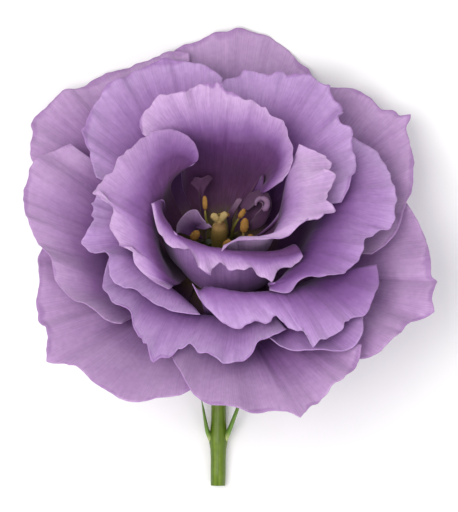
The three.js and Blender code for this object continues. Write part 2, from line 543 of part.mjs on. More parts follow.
// A narrow leaf: centre line, the way its width runs, and its width at each place.
function leaf(centres, widthWay, widths, thickness) {
  const grid = [-0.5, 0, 0.5].map((share) => centres.map((p, k) => (
    p.clone().addScaledVector(widthWay, share * widths[k])
  )));
  return blade(grid, thickness);
}

const SEPAL_LINE = [[6.0, -1.75], [9, -1.5], [13, -0.9], [18, 0.3], [23, 1.9]];
const SEPAL_WIDTHS = [2.6, 2.4, 2.0, 1.4, 0.7];
const sepals = [54, 126, 198, 270, 342].map((azimuth) => {
  const line = SEPAL_LINE.map(([radius, h]) => toTable(ring(azimuth, radius, h)));
  const zero = toTable(new THREE.Vector3(0, 0, 0));
  const widthWay = toTable(ring(azimuth + 90, 1, 0)).sub(zero);
  return leaf(line, widthWay, SEPAL_WIDTHS, 0.8);
});

const bracts = [
  [[-1.3, -39.7, 2.1], [-2.7, -37.5, 2.8], [-3.2, -34.7, 3.6], [-3.5, -32.5, 4.2], [-3.8, -30.7, 4.8]],
  [[0.8, -39.5, 2.1], [2.1, -37.1, 3], [3.4, -34.1, 4], [4.6, -30.9, 5.2], [5.4, -28.3, 6]],
].map((line) => leaf(
  line.map((p) => beside(...p)),
  new THREE.Vector3(0, -0.25, 0.97),
  [2.2, 2.6, 2.2, 1.5, 0.6],
  0.75,
));

const kernel = await Manifold();
kernel.setup();

function toBody(geometry) {
  return new kernel.Manifold(new kernel.Mesh({
    numProp: 3,
    vertProperties: new Float32Array(geometry.getAttribute('position').array),
    triVerts: new Uint32Array(geometry.getIndex().array),
  }));
}

const stemBody = kernel.Manifold.union([tube(stemRings(), 20), ...sepals, ...bracts].map(toBody));
const stemMesh = stemBody.getMesh();
add('stem', solid(Array.from(stemMesh.vertProperties), Array.from(stemMesh.triVerts)), 0x6f8f3f, 0.65);

export default lisianthus;
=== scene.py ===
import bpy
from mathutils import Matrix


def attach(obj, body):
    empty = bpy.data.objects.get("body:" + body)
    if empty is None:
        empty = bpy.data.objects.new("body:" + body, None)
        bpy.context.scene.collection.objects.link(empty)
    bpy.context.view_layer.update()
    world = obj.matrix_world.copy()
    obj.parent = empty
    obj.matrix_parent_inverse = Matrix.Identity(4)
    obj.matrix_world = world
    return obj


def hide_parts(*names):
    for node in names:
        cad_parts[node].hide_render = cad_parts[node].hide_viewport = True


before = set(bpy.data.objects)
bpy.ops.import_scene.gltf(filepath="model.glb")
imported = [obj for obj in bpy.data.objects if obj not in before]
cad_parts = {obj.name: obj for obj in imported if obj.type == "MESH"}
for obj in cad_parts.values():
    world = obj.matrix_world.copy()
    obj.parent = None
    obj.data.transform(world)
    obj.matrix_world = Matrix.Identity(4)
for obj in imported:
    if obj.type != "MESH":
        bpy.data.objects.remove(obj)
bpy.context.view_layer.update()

import math
import random

import bpy
import mathutils
import numpy as np

bl_info = {
    "name": "Lisianthus Bloom",
    "version": (1, 0, 0),
    "blender": (4, 5, 0),
    "location": "View3D > Sidebar > Lisianthus",
    "description": "Builds a full lisianthus bloom lying on its back, with its cut stem",
    "category": "Add Mesh",
}

# ---- driving sizes, in millimetres -----------------------------------------------------------
MM = 0.001                               # metres in a millimetre
LEAN = math.radians(30)                  # between the bloom's axis and +Z, towards +Y
SEAT = np.array([-2.21, -1.11, 13.0])    # middle of the receptacle's top above the table
STEM_RADIUS = 1.65
NECK_BEND = 7.0                          # radius of the bend below the bloom
NECK_TURN = math.radians(60)             # how far the stem turns in that bend
CUT_END = np.array([SEAT[0] - 0.33, SEAT[1] - 49.14, STEM_RADIUS])   # middle of the cut
LOWEST = 0.25                            # nearest that the middle of a petal comes to the table

# A petal's tone list is painted light and shade across it: it moves the petal's colour along its ramp,
# lighter where the petal catches the light and darker where it lies in shade under its neighbours.
# Each petal: rim and bend are (x, y, height along the axis) as seen from above the bloom.
# The lowest layer
OUTER_PETALS = [
    {
        "name": "petal_outer_top", "azimuth": 86, "claw": (7.2, -0.2, 30),
        "knee": (21, 3.2), "fan": 0.7, "wave": (4, 0.4, 0.1), "belly": (0.62, 6.6),
        "frill": (0.3, 0.24, 0.3, 0.36, 0.24),
        "tone": (0.06,),
        "rim": [
            (20.5, 40.5, 12), (19.4, 42.4, 12), (17.8, 43.8, 12), (15, 46.6, 12.3),
            (11.2, 49.3, 14), (7.9, 50.6, 15.2), (4.2, 51.5, 15.6), (1.8, 50.6, 15.4),
            (-0.4, 50.6, 15.2), (-4.6, 48.8, 14.4), (-8.1, 47.3, 13.6), (-10.5, 45.4, 12),
            (-11.8, 42.8, 10.9), (-12.6, 40, 9.7),
        ],
    },
    {
        "name": "petal_outer_lower_right", "azimuth": 341, "claw": (7.2, -0.2, 30),
        "knee": (21, 3.2), "fan": 0.7, "wave": (4, 0.7, 0.35), "belly": (0.62, 6.6),
        "frill": (0.18, 0.18, 0.48, 0.3, 0.18, 0.12, 0.12),
        "tone": (0.08,),
        "tips": [(47.1, -3.7, 0.35), (46.6, -10.8, 0.6)],
        "rim": [
            (30.2, -21.4, 12.4), (32.6, -20.4, 12.6), (35, -19.4, 12.7), (37.4, -17.8, 12.8),
            (38.9, -16.1, 12.9), (41.6, -12.8, 12.6), (43.6, -12.2, 12.2), (46.4, -11, 12.4),
            (46.5, -8.4, 12.8), (47.1, -5.6, 13.2), (47.3, -4, 13.3), (46.4, -3.2, 13.2),
            (46.4, -1.3, 13), (45.8, 2.6, 12.7), (44.8, 6, 12.5), (43.6, 8.8, 12.3),
            (41.6, 11.8, 12.1), (40, 14, 12),
        ],
    },
    {
        "name": "petal_outer_lower_left", "azimuth": 226, "claw": (7.2, -0.2, 30),
        "knee": (21, 3.2), "fan": 0.7, "wave": (4, 0.7, 0.6), "belly": (0.62, 6.6),
        "frill": (0.18, 0.18, 0.48, 0.54, 0.18, 0.09, 0.09),
        "tone": (0.16,),
        "tips": [(-36.7, -21.3, 1), (-32.8, -22.9, 0.5)],
        "rim": [
            (-38, 4.4, 12.4), (-39.6, 1.4, 12.4), (-39.6, -2, 12.4), (-39.4, -5.1, 12.5),
            (-40, -9.6, 12.5), (-39.4, -12.4, 12.6), (-37.8, -15, 12.8), (-37.4, -18.2, 12.8),
            (-36.8, -20.8, 12.9), (-34.4, -21.7, 13), (-31, -22.7, 13), (-29, -25, 13),
            (-26.6, -26.9, 13), (-22.9, -28.6, 12.9), (-17.4, -30, 12.7), (-11.9, -30.1, 12.5),
            (-8.1, -28.9, 12.4), (-5.7, -27.3, 12.3),
        ],
    },
    {
        "name": "petal_outer_upper_left", "azimuth": 133, "claw": (7.2, -0.2, 30),
        "knee": (20.4, 4.3), "fan": 0.7, "wave": (4, 0.6, 0.2), "belly": (0.62, 8.5),
        "frill": (0.3, 0.36, 0.3, 0.36, 0.3),
        "rim": [
            (-6.6, 45.6, 15.4), (-10.3, 46.3, 14.5), (-14.1, 45.4, 12.2), (-18, 43.6, 11.1),
            (-22.4, 41.9, 10.8), (-26.8, 40.7, 11.2), (-30.1, 38.6, 11.8), (-33.4, 37.6, 12.4),
            (-36.1, 36, 12.9), (-38.6, 33.6, 13.2), (-41.1, 31, 13.4), (-40.7, 28.4, 13.5),
            (-41.6, 25.5, 13.4), (-41.2, 22.4, 13.3), (-38.8, 20, 13.1),
        ],
    },
    {
        "name": "petal_outer_upper_right", "azimuth": 31, "claw": (7.2, -0.2, 30),
        "knee": (20.4, 4.3), "fan": 0.7, "wave": (4, 0.6, 0.7), "belly": (0.62, 8),
        "frill": (0.12, 0.12, 0.24, 0.42, 0.24, 0.18),
        "tips": [(41.1, 31.7, 1.1)],
        "rim": [
            (33.2, 2, 14.4), (36.7, 4.4, 14.5), (39.4, 7.6, 14.6), (40.5, 10.6, 14.6),
            (41, 13, 14.6), (42.2, 16.6, 14.5), (42.5, 19.1, 14.4), (42.5, 22.5, 14.3),
            (41.6, 26, 14.2), (41.2, 29.4, 14.1), (41.3, 31.4, 14), (39.6, 31.8, 14),
            (38.2, 33.4, 13.9), (35.8, 33.6, 13.8), (33.4, 35.8, 13.6), (29.3, 37.8, 13.3),
            (24.6, 38.4, 13), (21.3, 38.8, 12.9),
        ],
    },
    {
        "name": "petal_outer_bottom", "azimuth": 285, "claw": (7.2, -0.2, 30),
        "knee": (20.8, 4), "fan": 0.7, "wave": (4, 0.7, 0), "belly": (0.62, 8),
        "frill": (0.12, 0.09, 0.09, 0.24, 0.42, 0.3, 0.18),
        "tone": (0.12, 0.12, 0.1, 0.04, -0.02, 0.04),
        "tips": [(17.4, -33.9, 1), (22.2, -31, 0.4)],
        "rim": [
            (-10.8, -19.6, 14.2), (-9.6, -22.8, 14.2), (-7.4, -26, 14.2), (-4.6, -28.8, 14.3),
            (-1.6, -30.8, 14.4), (2.4, -32.1, 14.4), (6.8, -32.7, 14.4), (10.8, -31.7, 14.4),
            (14.3, -32.3, 14.4), (17.4, -33.9, 14.4), (19.2, -32.2, 14.3), (21.3, -30.2, 14.3),
            (24, -28, 14.3), (26.8, -25.7, 14.2), (29.1, -23, 14.5), (30.4, -20.6, 14.8),
            (31, -18, 15),
        ],
    },
    {
        "name": "petal_outer_left", "azimuth": 180, "claw": (7.2, -0.2, 30),
        "knee": (19.9, 5.05), "fan": 0.7, "wave": (4.5, 0.7, 0.3),
        "frill": (0.24, 0.42, 0.48, 0.36, 0.3, 0.24, 0.18),
        "tone": (0.05, 0.05, 0.03, 0, 0),
        "bend": [
            (-23.5, 18.8, 11.2), (-27.6, 10.4, 10.8), (-28, 2.2, 10.6), (-24, -6.2, 10.2),
            (-18.4, -11.4, 9.4),
        ],
        "rim": [
            (-32.6, 25.6, 15.6), (-35.4, 24.9, 15.6), (-38.4, 23.8, 15.4), (-40.8, 21.4, 15.3),
            (-42, 18.5, 15.2), (-42.9, 14.3, 15.2), (-42.4, 11, 15.2), (-41.2, 7.7, 15.2),
            (-39.8, 4.6, 15.2), (-38.2, 2.2, 15.2), (-36.7, -0.9, 15.2), (-35, -4.4, 15.2),
            (-32.3, -7.3, 15.2), (-28.8, -10.3, 15.2), (-25.1, -12.5, 15.2), (-21.3, -13, 15.2),
        ],
    },
]

# The middle layer
MIDDLE_PETALS = [
    {
        "name": "petal_middle_shaded", "azimuth": 321, "claw": (5.9, 0.85, 20),
        "knee": (19.4, 5.2), "fan": 0.8, "wave": (3, 0.4, 0.2),
        "frill": (0.12, 0.1, 0.1, 0.1),
        "tone": (-0.08,),
        "bend": [
            (8.4, -14.6, 10.4), (16.1, -11.3, 10.6), (21.7, -5.6, 10.4),
        ],
        "rim": [
            (10.2, -16.2, 15.5), (12.4, -17.5, 16), (14.5, -18.3, 16), (18.5, -19.5, 16),
            (22.2, -19.7, 16), (26.6, -18.9, 16), (29.6, -17.8, 16), (31.2, -15.6, 16),
            (31.4, -13, 16), (31, -10, 15.8), (30.4, -7, 15.5),
        ],
    },
    {
        "name": "petal_middle_lower_left", "azimuth": 250.2, "claw": (5.95, 0.86, 26),
        "knee": (18.54, 5.33), "fan": 0.8, "wave": (4, 0.8, 0.5),
        "frill": (0.5, 0.7, 0.8, 1, 0.9, 0.8, 0.7, 0.5),
        "tips": [(-14.1, -20.9, 0.9), (-16.3, -17.2, 0.6), (-9.5, -18.3, -0.4)],
        "bend": [
            (-19.3, -0.2, 11.8), (-14.8, -6.5, 12.6), (-7.2, -10.7, 12.8), (1.9, -12.2, 12.6),
            (10.3, -10.7, 12.2),
        ],
        "rim": [
            (-24, 1, 17), (-25.2, -2.9, 17), (-25, -6.2, 17), (-22.9, -9.4, 17.2),
            (-19.6, -11.6, 17.4), (-18, -14.7, 17.4), (-16.6, -17, 17.4), (-14.7, -20.5, 17.2),
            (-11.4, -20.7, 17.2), (-8.6, -18.8, 17.4), (-5.9, -18.4, 17.4), (-3.3, -20.4, 17.2),
            (0.7, -21.5, 17), (4.6, -20.9, 17), (8.1, -18.9, 17), (11.7, -16.5, 17),
            (14.6, -14.6, 17),
        ],
    },
    {
        "name": "petal_middle_upper_left", "azimuth": 118, "claw": (5.7, 1.15, 26),
        "knee": (17.6, 6.6), "fan": 0.8, "wave": (4, 0.8, 0.15), "belly": (0.6, 12.4),
        "frill": (0.4, 0.5, 0.4, 0.5, 0.6, 0.5),
        "rim": [
            (0.7, 40, 19.6), (-2.4, 42.6, 19.2), (-6.4, 44.2, 18.6), (-9.4, 44.6, 18.2),
            (-12.1, 44.4, 18), (-15.2, 43.4, 17.8), (-18, 42.3, 17.6), (-21.3, 40.4, 17.6),
            (-24, 39, 17.6), (-26.2, 36.5, 17.6), (-28.2, 33.4, 17.6), (-29.3, 30.1, 17.6),
            (-29.7, 26.8, 17.7), (-28.4, 24.2, 17.8), (-27.5, 21.3, 17.8), (-27, 18.2, 17.8),
        ],
    },
    {
        "name": "petal_middle_left", "azimuth": 208, "claw": (5.4, 1.55, 26),
        "knee": (17, 6.8), "fan": 0.8, "wave": (3.5, 0.7, 0.4),
        "frill": (0.5, 0.9, 1, 0.8, 0.7, 0.5, 0.4, 0.2),
        "tone": (0.05,),
        "tips": [(-24.4, 1.5, 0.6), (-25.3, 12.5, 0.7)],
        "bend": [
            (-18.6, 13.3, 17.2), (-19.8, 9.8, 17.2), (-20.4, 6.6, 17.2), (-20.4, 3.8, 17.2),
            (-19.2, 1.6, 17.2), (-17, -0.7, 17.2), (-14.2, -3.1, 17.2), (-10.9, -5.6, 17),
            (-5.6, -9.8, 15.6),
        ],
        "rim": [
            (-24.6, 19, 19), (-26.6, 15.4, 19), (-27.6, 12.2, 19), (-27.2, 9.7, 19),
            (-28.8, 7, 19), (-29.6, 4.4, 19), (-27.4, 2, 19.2), (-24.6, 1.3, 19.4),
            (-24.2, -1.3, 19.2), (-22.7, -4.2, 19.2), (-19.6, -5.9, 19.2), (-16.7, -7.1, 19.2),
            (-13.4, -9.2, 19.2), (-9.5, -10.5, 19), (-4.2, -11.2, 19),
        ],
    },
    {
        "name": "petal_middle_front", "azimuth": 289.4, "claw": (5.71, 1.51, 26),
        "knee": (16.98, 6.18), "fan": 0.8, "wave": (3.5, 0.6, 0.1),
        "frill": (0.2, 0.6, 0.8, 0.9, 1, 0.9, 0.4, 0.3, 0.2),
        "tone": (0, 0, 0, 0, 0, -0.02, -0.08, -0.16, -0.18),
        "tips": [(20, -18, 0.4), (27.5, -12.1, 0.6), (9.5, -15.2, 0.5)],
        "bend": [
            (-4.9, -6.2, 18.6), (-0.9, -6.2, 22.2), (5.7, -7, 22), (12.3, -7, 21),
            (17.8, -6.4, 19.4), (22.7, -4.6, 18), (25.6, -2.2, 17.4),
        ],
        "rim": [
            (-5.9, -4.9, 22.2), (-3.9, -8.6, 20.2), (-0.4, -12.1, 19.4), (4.2, -14.3, 19),
            (6.8, -13, 19.2), (9.9, -13.4, 19.2), (12.5, -11.9, 19.2), (15, -14.1, 19),
            (17.6, -14.7, 18.9), (19.9, -18, 18.6), (23.3, -16.9, 18.4), (26.2, -15, 18.4),
            (27.8, -12.4, 18.3), (31.5, -11.4, 18), (33.7, -7.9, 18), (34.8, -4, 17.6),
            (34.3, -0.4, 17.4),
        ],
    },
    {
        "name": "petal_middle_right", "azimuth": 2.9, "claw": (5.41, 1.5, 26),
        "knee": (16.03, 7.29), "fan": 0.8, "wave": (3.5, 0.7, 0.6),
        "frill": (0.1, 0.3, 0.6, 0.7, 0.8, 0.7, 0.5, 0.4),
        "tone": (-0.12, -0.12, -0.1, -0.06, -0.03, 0, 0),
        "bend": [
            (11, -5.3, 20.6), (13.4, -4.4, 22.8), (17.8, -1.2, 22.4), (20, 2.2, 22),
            (21.8, 5.9, 21.4), (24.4, 10.1, 20.8), (26.6, 14.1, 20.4), (27, 19.1, 19.8),
            (26.4, 22.6, 19.2),
        ],
        "rim": [
            (10.9, -5.9, 22.2), (15.2, -6.3, 22.6), (17.3, -4.3, 22), (20, -3.3, 21.4),
            (24, -3.3, 21), (27.1, -2, 20.8), (29.7, -0.2, 20.6), (31.4, 2.6, 20.4),
            (32.2, 5.3, 20.2), (35, 6.9, 20), (37.2, 7.7, 19.8), (38.4, 10.8, 19.8),
            (38.5, 14.7, 19.6), (37.2, 19.1, 19.2), (35.2, 23.6, 18.6), (32.1, 26.2, 18),
            (29, 27.2, 17.6),
        ],
    },
    {
        "name": "petal_middle_upper_right", "azimuth": 44.9, "claw": (5.13, 1.91, 26),
        "knee": (14.71, 8.73), "fan": 0.8, "wave": (4, 0.8, 0), "belly": (0.62, 18.6),
        "frill": (0.4, 0.5, 0.7, 1.2, 1.4, 1.2, 1.1, 0.8),
        "tone": (0.03,),
        "tips": [(27.1, 33.9, 0.8), (19.6, 41.8, 0.9)],
        "rim": [
            (26.6, 13, 23.6), (28.6, 16.4, 23.6), (29.7, 20, 23.6), (29.6, 23.4, 23.6),
            (28.8, 26.4, 23.4), (28.8, 28.6, 23.2), (26.7, 31.2, 23), (26.4, 33.9, 22.8),
            (24.6, 36.7, 22.4), (22.4, 39.2, 22), (18.8, 41.2, 21.8), (14.5, 41.6, 21.8),
            (9.7, 40.9, 21.8), (5.7, 41.6, 21.6), (2.4, 40.9, 21.4), (-0.4, 38.6, 21.4),
        ],
    },
]

# The cup
INNER_PETALS = [
    {
        "name": "petal_inner_back", "azimuth": 92, "claw": (4.7, 2.3, 46),
        "knee": (13.1, 9.55), "fan": 0.9, "wave": (5, 0.6, 0.2),
        "frill": (0.3, 0.4, 0.6, 0.7, 1, 1.3, 1.2, 0.9, 0.7, 0.5),
        "tone": (-0.08, -0.12, -0.06, 0, 0.03, 0.02, 0, 0),
        "tips": [(-0.7, 39.2, 0.8), (9.5, 33, 0.6)],
        "bulge": [
            (0, 10.6, 1.9), (0, 7.1, 1.3), (0, 3.5, 0.6), (0, 0, 0), (0, 0, 0), (0, 0, 0),
            (0, 0, 0), (0, 0, 0), (0, 0, 0), (0, 0, 0), (0, 0, 0),
        ],
        "bend": [
            (9, 15.4, 19.5), (11.2, 18.6, 22), (11.6, 22.4, 23), (8.2, 24.8, 23.2),
            (2.9, 26.2, 23.2), (0.5, 27.6, 23.2), (-1.6, 28.2, 23.2), (-4.1, 27.8, 23.2),
            (-6.9, 26.7, 23.2), (-9.3, 25.4, 23.2), (-9.8, 22.8, 23.2),
        ],
        "rim": [
            (13.9, 17.4, 24.6), (15.3, 19.6, 26.6), (15.8, 23.4, 28.2), (15.2, 27.4, 28),
            (13.2, 30.8, 27.8), (9.9, 33.4, 28), (7.3, 35.4, 28), (4, 35.9, 28), (2.2, 37.6, 28),
            (0.2, 38.9, 28), (-2, 38.2, 28), (-4.6, 39.2, 28), (-6.4, 37.8, 28),
            (-10.3, 37, 27.8), (-13.3, 35.8, 27.4), (-16, 33.6, 26.4), (-17.4, 30.8, 25.4),
            (-16.9, 27.7, 24.4),
        ],
    },
    {
        "name": "petal_inner_left", "azimuth": 172, "claw": (4.3, 2.9, 46),
        "knee": (12.4, 9.8), "fan": 0.9, "wave": (4.5, 0.8, 0.5),
        "frill": (0.2, 0.2, 0.3, 0.5, 1.1, 1.3, 0.9, 0.5, 0.3, 0.1),
        "tone": (-0.26, -0.17, -0.06, -0.03, -0.02, -0.02),
        "bend": [
            (-8.2, 19.9, 25.4), (-9.8, 19.2, 26.4), (-12.5, 16.5, 26.6), (-14.7, 12.1, 26.4),
            (-15.2, 7.5, 26.2), (-14.5, 2.6, 25.6), (-12.4, -2.6, 24), (-10, -5.2, 19.2),
        ],
        "rim": [
            (-5.9, 21.2, 26), (-4.6, 23, 27), (-5.2, 25.3, 27.4), (-7.2, 27.4, 27.4),
            (-10.4, 28.9, 27.2), (-15.2, 28.2, 26.6), (-18.5, 25.8, 25.8), (-21.6, 22.2, 25),
            (-25, 18.9, 24.2), (-27.8, 15.8, 23.6), (-25.5, 13.4, 23.8), (-23, 11.7, 24),
            (-23.6, 8.1, 23.6), (-21.7, 4.6, 23.6), (-19.2, 3, 24), (-18.6, 0, 24),
            (-15.6, -2.9, 23.8), (-11, -5.9, 23.8),
        ],
    },
    {
        "name": "petal_inner_front", "azimuth": 252, "claw": (3.9, 3.6, 46),
        "knee": (11.3, 10.5), "fan": 0.9, "wave": (4.5, 0.5, 0.3),
        "frill": (0.2, 0.9, 1.5, 1.9, 2.2, 2.3, 2.2, 1.8, 1),
        "tone": (0, 0, 0, 0, 0, -0.03, -0.08, -0.1),
        "tips": [(-2, -2.4, 1.3), (5.9, -1.3, 0.5), (10.8, -1.3, 0.7)],
        "bulge": [
            (0, 0, 0), (0, 0, 0), (0, 0, 0), (1.2, -0.8, 0), (2.3, -1.9, 0), (2.8, -2.1, 0),
            (3, -1.8, 0), (2.9, -1.3, 0),
        ],
        "bend": [
            (-14, 13, 28), (-12.3, 9, 28), (-9, 5.7, 27.6), (-4.2, 3.5, 27), (0.7, 2.4, 26.6),
            (6.8, 1.6, 26.4), (12.3, 1.6, 26), (17.6, 2.6, 25.2),
        ],
        "rim": [
            (-14.8, 12.5, 27.8), (-13.8, 8.4, 27), (-12.5, 5.5, 26.2), (-10.5, 3.2, 25.4),
            (-7.2, 2.5, 24.6), (-5.1, 0.4, 24), (-2.4, -2.2, 23.2), (0.3, 0, 23.8),
            (2.6, -1.9, 23.2), (5.3, -1, 23.2), (8.4, -2.9, 22.8), (11.2, -2.7, 22.8),
            (14.2, -1.8, 23), (16.9, -0.3, 23.4), (18.2, 1.5, 24.4),
        ],
    },
    {
        "name": "petal_inner_right", "azimuth": 336, "claw": (3.4, 4.5, 46),
        "knee": (10.1, 11.4), "fan": 0.9, "wave": (3.5, 0.5, 0.6),
        "frill": (0.2, 0.3, 0.3, 0.4, 1, 1.6, 1.9, 1.5, 0.7),
        "tone": (0.18,),
        "back": 0.67,
        "tips": [(24.2, 18, 0.6), (24.6, 11.7, 0.8), (22.7, 22.9, 0.5)],
        "bulge": [
            (0, 0, 0), (0, 0, 0), (0, 0, 0), (0, 0, 0), (0, 0, 2), (1.2, 2.4, -4),
            (2.7, 5.7, -11.5), (4.4, 9.5, -20.9),
        ],
        "bend": [
            (0.9, 3.4, 27.4), (4.6, 5.2, 28), (8.6, 5.6, 28.4), (12.6, 6.6, 28.6),
            (15.6, 8.8, 28.8), (16.9, 12.4, 29), (16.9, 16.4, 29), (16.6, 20.6, 27.6),
            (16.4, 22.6, 25.4),
        ],
        "rim": [
            (0.5, 2.5, 28.6), (2.4, 4.3, 29.4), (6.8, 4.6, 29.8), (11.2, 5, 29.8),
            (14.6, 6.1, 29.6), (16.9, 7.6, 29.4), (19.3, 9, 29), (22.2, 9.3, 28.6),
            (24.2, 11.2, 28.2), (23.7, 14.6, 28.2), (24.6, 17.2, 28), (23.6, 19, 28),
            (24.3, 21, 28), (21.4, 24.2, 28), (17.4, 25.6, 28),
        ],
    },
]

# Small petals half hidden in the throat
PETALOIDS = [
    {
        "name": "petaloid_left", "azimuth": 137, "claw": (4.6, 3.8, 10),
        "knee": (6.6, 7.6), "fan": 0.8, "wave": (1, 0, 0),
        "frill": (0, 0),
        "tone": (-0.12,), "surface": "inner_petal",
        "bend": [
            (-8.6, 6.4, 9.4), (-7.6, 8, 10.6), (-5.8, 9, 11), (-4.4, 8.8, 11), (-3, 7.2, 10.8),
        ],
        "rim": [
            (-9.4, 6.2, 10.6), (-9.3, 8, 12), (-8.2, 9.8, 13.2), (-6.6, 11.2, 13.9),
            (-5, 11.4, 13.6), (-3.9, 9.6, 13), (-1.6, 7.6, 12.4),
        ],
    },
    {
        "name": "petaloid_curled", "azimuth": 125, "claw": (4.6, 3.8, 8),
        "knee": (8.2, 7.4), "fan": 0.8, "wave": (1, 0, 0),
        "frill": (0.3, 0.3),
        "tone": (-0.5,),
        "bend": [
            (-4.9, 15.9, 14.6), (-4.4, 16.4, 15), (-3.7, 16.5, 15.2), (-3.1, 16.1, 14.8),
        ],
        "rim": [
            (-6.3, 17.2, 15.2), (-5.4, 18.4, 16.8), (-3.9, 18.3, 17.4), (-2.3, 19, 16.8),
            (-1.5, 18.4, 15.6),
        ],
    },
    {
        "name": "petaloid_right", "azimuth": 49.7, "claw": (4.39, 4.34, 18),
        "knee": (6.78, 10.48), "fan": 0.6, "wave": (1, 0, 0),
        "frill": (0.1, 0.1),
        "tone": (-0.12,),
        "bend": [
            (4.2, 12.3, 13), (6.4, 14.6, 15.5), (9, 15.4, 18), (10.6, 14.6, 19.3),
            (11, 12.8, 19.3), (10.4, 10.6, 18), (9.4, 8.3, 15), (7, 7, 11.6),
        ],
        "rim": [
            (5.2, 11.2, 15), (6.4, 11.6, 17), (7.6, 12.2, 19), (8.6, 12.9, 20.4),
            (9.3, 12.6, 20.9), (9, 11.6, 20.3), (8.2, 10.7, 19), (7.6, 9.6, 17), (6.8, 8.8, 14.6),
        ],
    },
    {
        "name": "petaloid_strip", "azimuth": 63.7, "claw": (4.35, 4.12, 8),
        "knee": (5.2, 7.21), "fan": 0.5, "wave": (1, 0, 0),
        "frill": (0.1, 0.1),
        "bend": [
            (1.7, 10.2, 12), (2.3, 10, 12), (2.9, 9.8, 12),
        ],
        "rim": [
            (3.9, 13.8, 16.2), (4.4, 13.8, 16.4), (4.9, 13.6, 16.2),
        ],
    },
]


# ---- the bloom's own frame: x right, s up the slope, h along the axis -----------------------
def from_plan(point):
    """A place seen from above (x, y) with its height along the axis."""
    x, y, h = point
    return np.array([x, (y - math.sin(LEAN) * h) / math.cos(LEAN), h])


def to_table(points):
    """From the bloom's own frame to the table's, in millimetres."""
    points = np.asarray(points, dtype=float)
    x, s, h = points[..., 0], points[..., 1], points[..., 2]
    return SEAT + np.stack([
        x,
        math.cos(LEAN) * s + math.sin(LEAN) * h,
        -math.sin(LEAN) * s + math.cos(LEAN) * h,
    ], axis=-1)


def ring(azimuth, radius, height):
    turn = np.radians(azimuth)
    x, y = radius * np.cos(turn), radius * np.sin(turn)
    return np.stack([x, y, np.broadcast_to(height, np.shape(x))], axis=-1).astype(float)


def turn_between(start, end):
    return (end - start + 540) % 360 - 180


AXIS = to_table([0, 0, 1]) - to_table([0, 0, 0])


# ---- smooth curves and waves -----------------------------------------------------------------
def curve(points, shares):
    """Points of a smooth curve through the given ones; shares count one for each span."""
    points = np.asarray(points, dtype=float)
    shares = np.atleast_1d(shares)
    steps = np.diff(points, axis=0)
    gaps = np.linalg.norm(steps, axis=1)[:, None]
    slopes = np.empty_like(points)
    slopes[0], slopes[-1] = steps[0] / gaps[0], steps[-1] / gaps[-1]
    inside = steps[:-1] * gaps[1:] / gaps[:-1] + steps[1:] * gaps[:-1] / gaps[1:]
    slopes[1:-1] = inside / (gaps[:-1] + gaps[1:])
    i = np.minimum(shares.astype(int), len(points) - 2)
    u = (shares - i)[:, None]
    return (points[i] * (2 * u**3 - 3 * u**2 + 1) + slopes[i] * gaps[i] * (u**3 - 2 * u**2 + u)
            + points[i + 1] * (3 * u**2 - 2 * u**3) + slopes[i + 1] * gaps[i] * (u**3 - u**2))


def ripple(rng, lengths, heights):
    """A wave that never quite repeats, made of sines with seeded starts."""
    parts = [(length, height, rng.uniform(0, 2 * math.pi), rng.uniform(0.05, 0.1))
             for length, height in zip(lengths, heights)]

    def at(place):
        return sum(height * np.sin(2 * math.pi * place / length + start
                                   + 1.2 * np.sin(bend * place + 2 * start))
                   for length, height, start, bend in parts)
    return at


def swelling(shares, start):
    """0 up to start, growing smoothly to 1 at the end of a 0 to 3 run."""
    return np.clip((shares - start) / (RIM - start), 0, 1)


# ---- making pieces --------------------------------------------------------------------------
def new_object(name, points_mm, faces, material, uvs=None):
    """A mesh object at the origin, its vertices in metres."""
    mesh = bpy.data.meshes.new(name)
    mesh.from_pydata((np.asarray(points_mm) * MM).tolist(), [], faces)
    if uvs is not None:
        layer = mesh.uv_layers.new(name="ribs")
        corners = np.zeros(len(mesh.loops), dtype=np.int32)
        mesh.loops.foreach_get("vertex_index", corners)
        layer.data.foreach_set("uv", np.asarray(uvs, dtype=np.float32)[corners].ravel())
    mesh.polygons.foreach_set("use_smooth", [True] * len(mesh.polygons))
    mesh.materials.append(material)
    mesh.update()
    obj = bpy.data.objects.new(name, mesh)
    bpy.context.scene.collection.objects.link(obj)
    return obj


def file_piece(piece, node):
    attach(piece, "root")
    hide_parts(node)
    return piece


def blade_faces(rows, cols):
    """Upper side, lower side and the strip round the edge of a closed blade."""
    size = rows * cols
    j, i = np.meshgrid(np.arange(rows - 1), np.arange(cols - 1), indexing="ij")
    a = (j * cols + i).ravel()
    upper = np.stack([a, a + 1, a + cols + 1, a + cols], axis=1)
    lower = size + upper[:, ::-1]
    edge = np.concatenate([
        np.arange(cols - 1),
        np.arange(rows - 1) * cols + cols - 1,
        (rows - 1) * cols + np.arange(cols - 1, 0, -1),
        np.arange(rows - 1, 0, -1) * cols,
    ])
    after = np.roll(edge, -1)
    strip = np.stack([edge, size + edge, size + after, after], axis=1)
    return np.concatenate([upper, lower, strip]).tolist()


def normals_of(grid):
    across = np.gradient(grid, axis=0)
    out = np.gradient(grid, axis=1)
    normals = np.cross(out, across)
    return normals / (np.linalg.norm(normals, axis=2, keepdims=True) + 1e-12)


def blade_object(name, grid, thickness, material, uvs, back_tone=0.0):
    """A closed blade, half its thickness to either side of a grid of points.

    back_tone moves the colour of its lower side towards the rim's."""
    half = normals_of(grid) * np.broadcast_to(thickness, grid.shape[:2])[..., None] / 2
    points = np.concatenate([(grid + half).reshape(-1, 3), (grid - half).reshape(-1, 3)])
    upper = uvs.reshape(-1, 2)
    lower = upper * (1, 1 - back_tone) + (0, back_tone)
    return new_object(name, points, blade_faces(*grid.shape[:2]), material,
                      np.concatenate([upper, lower]))


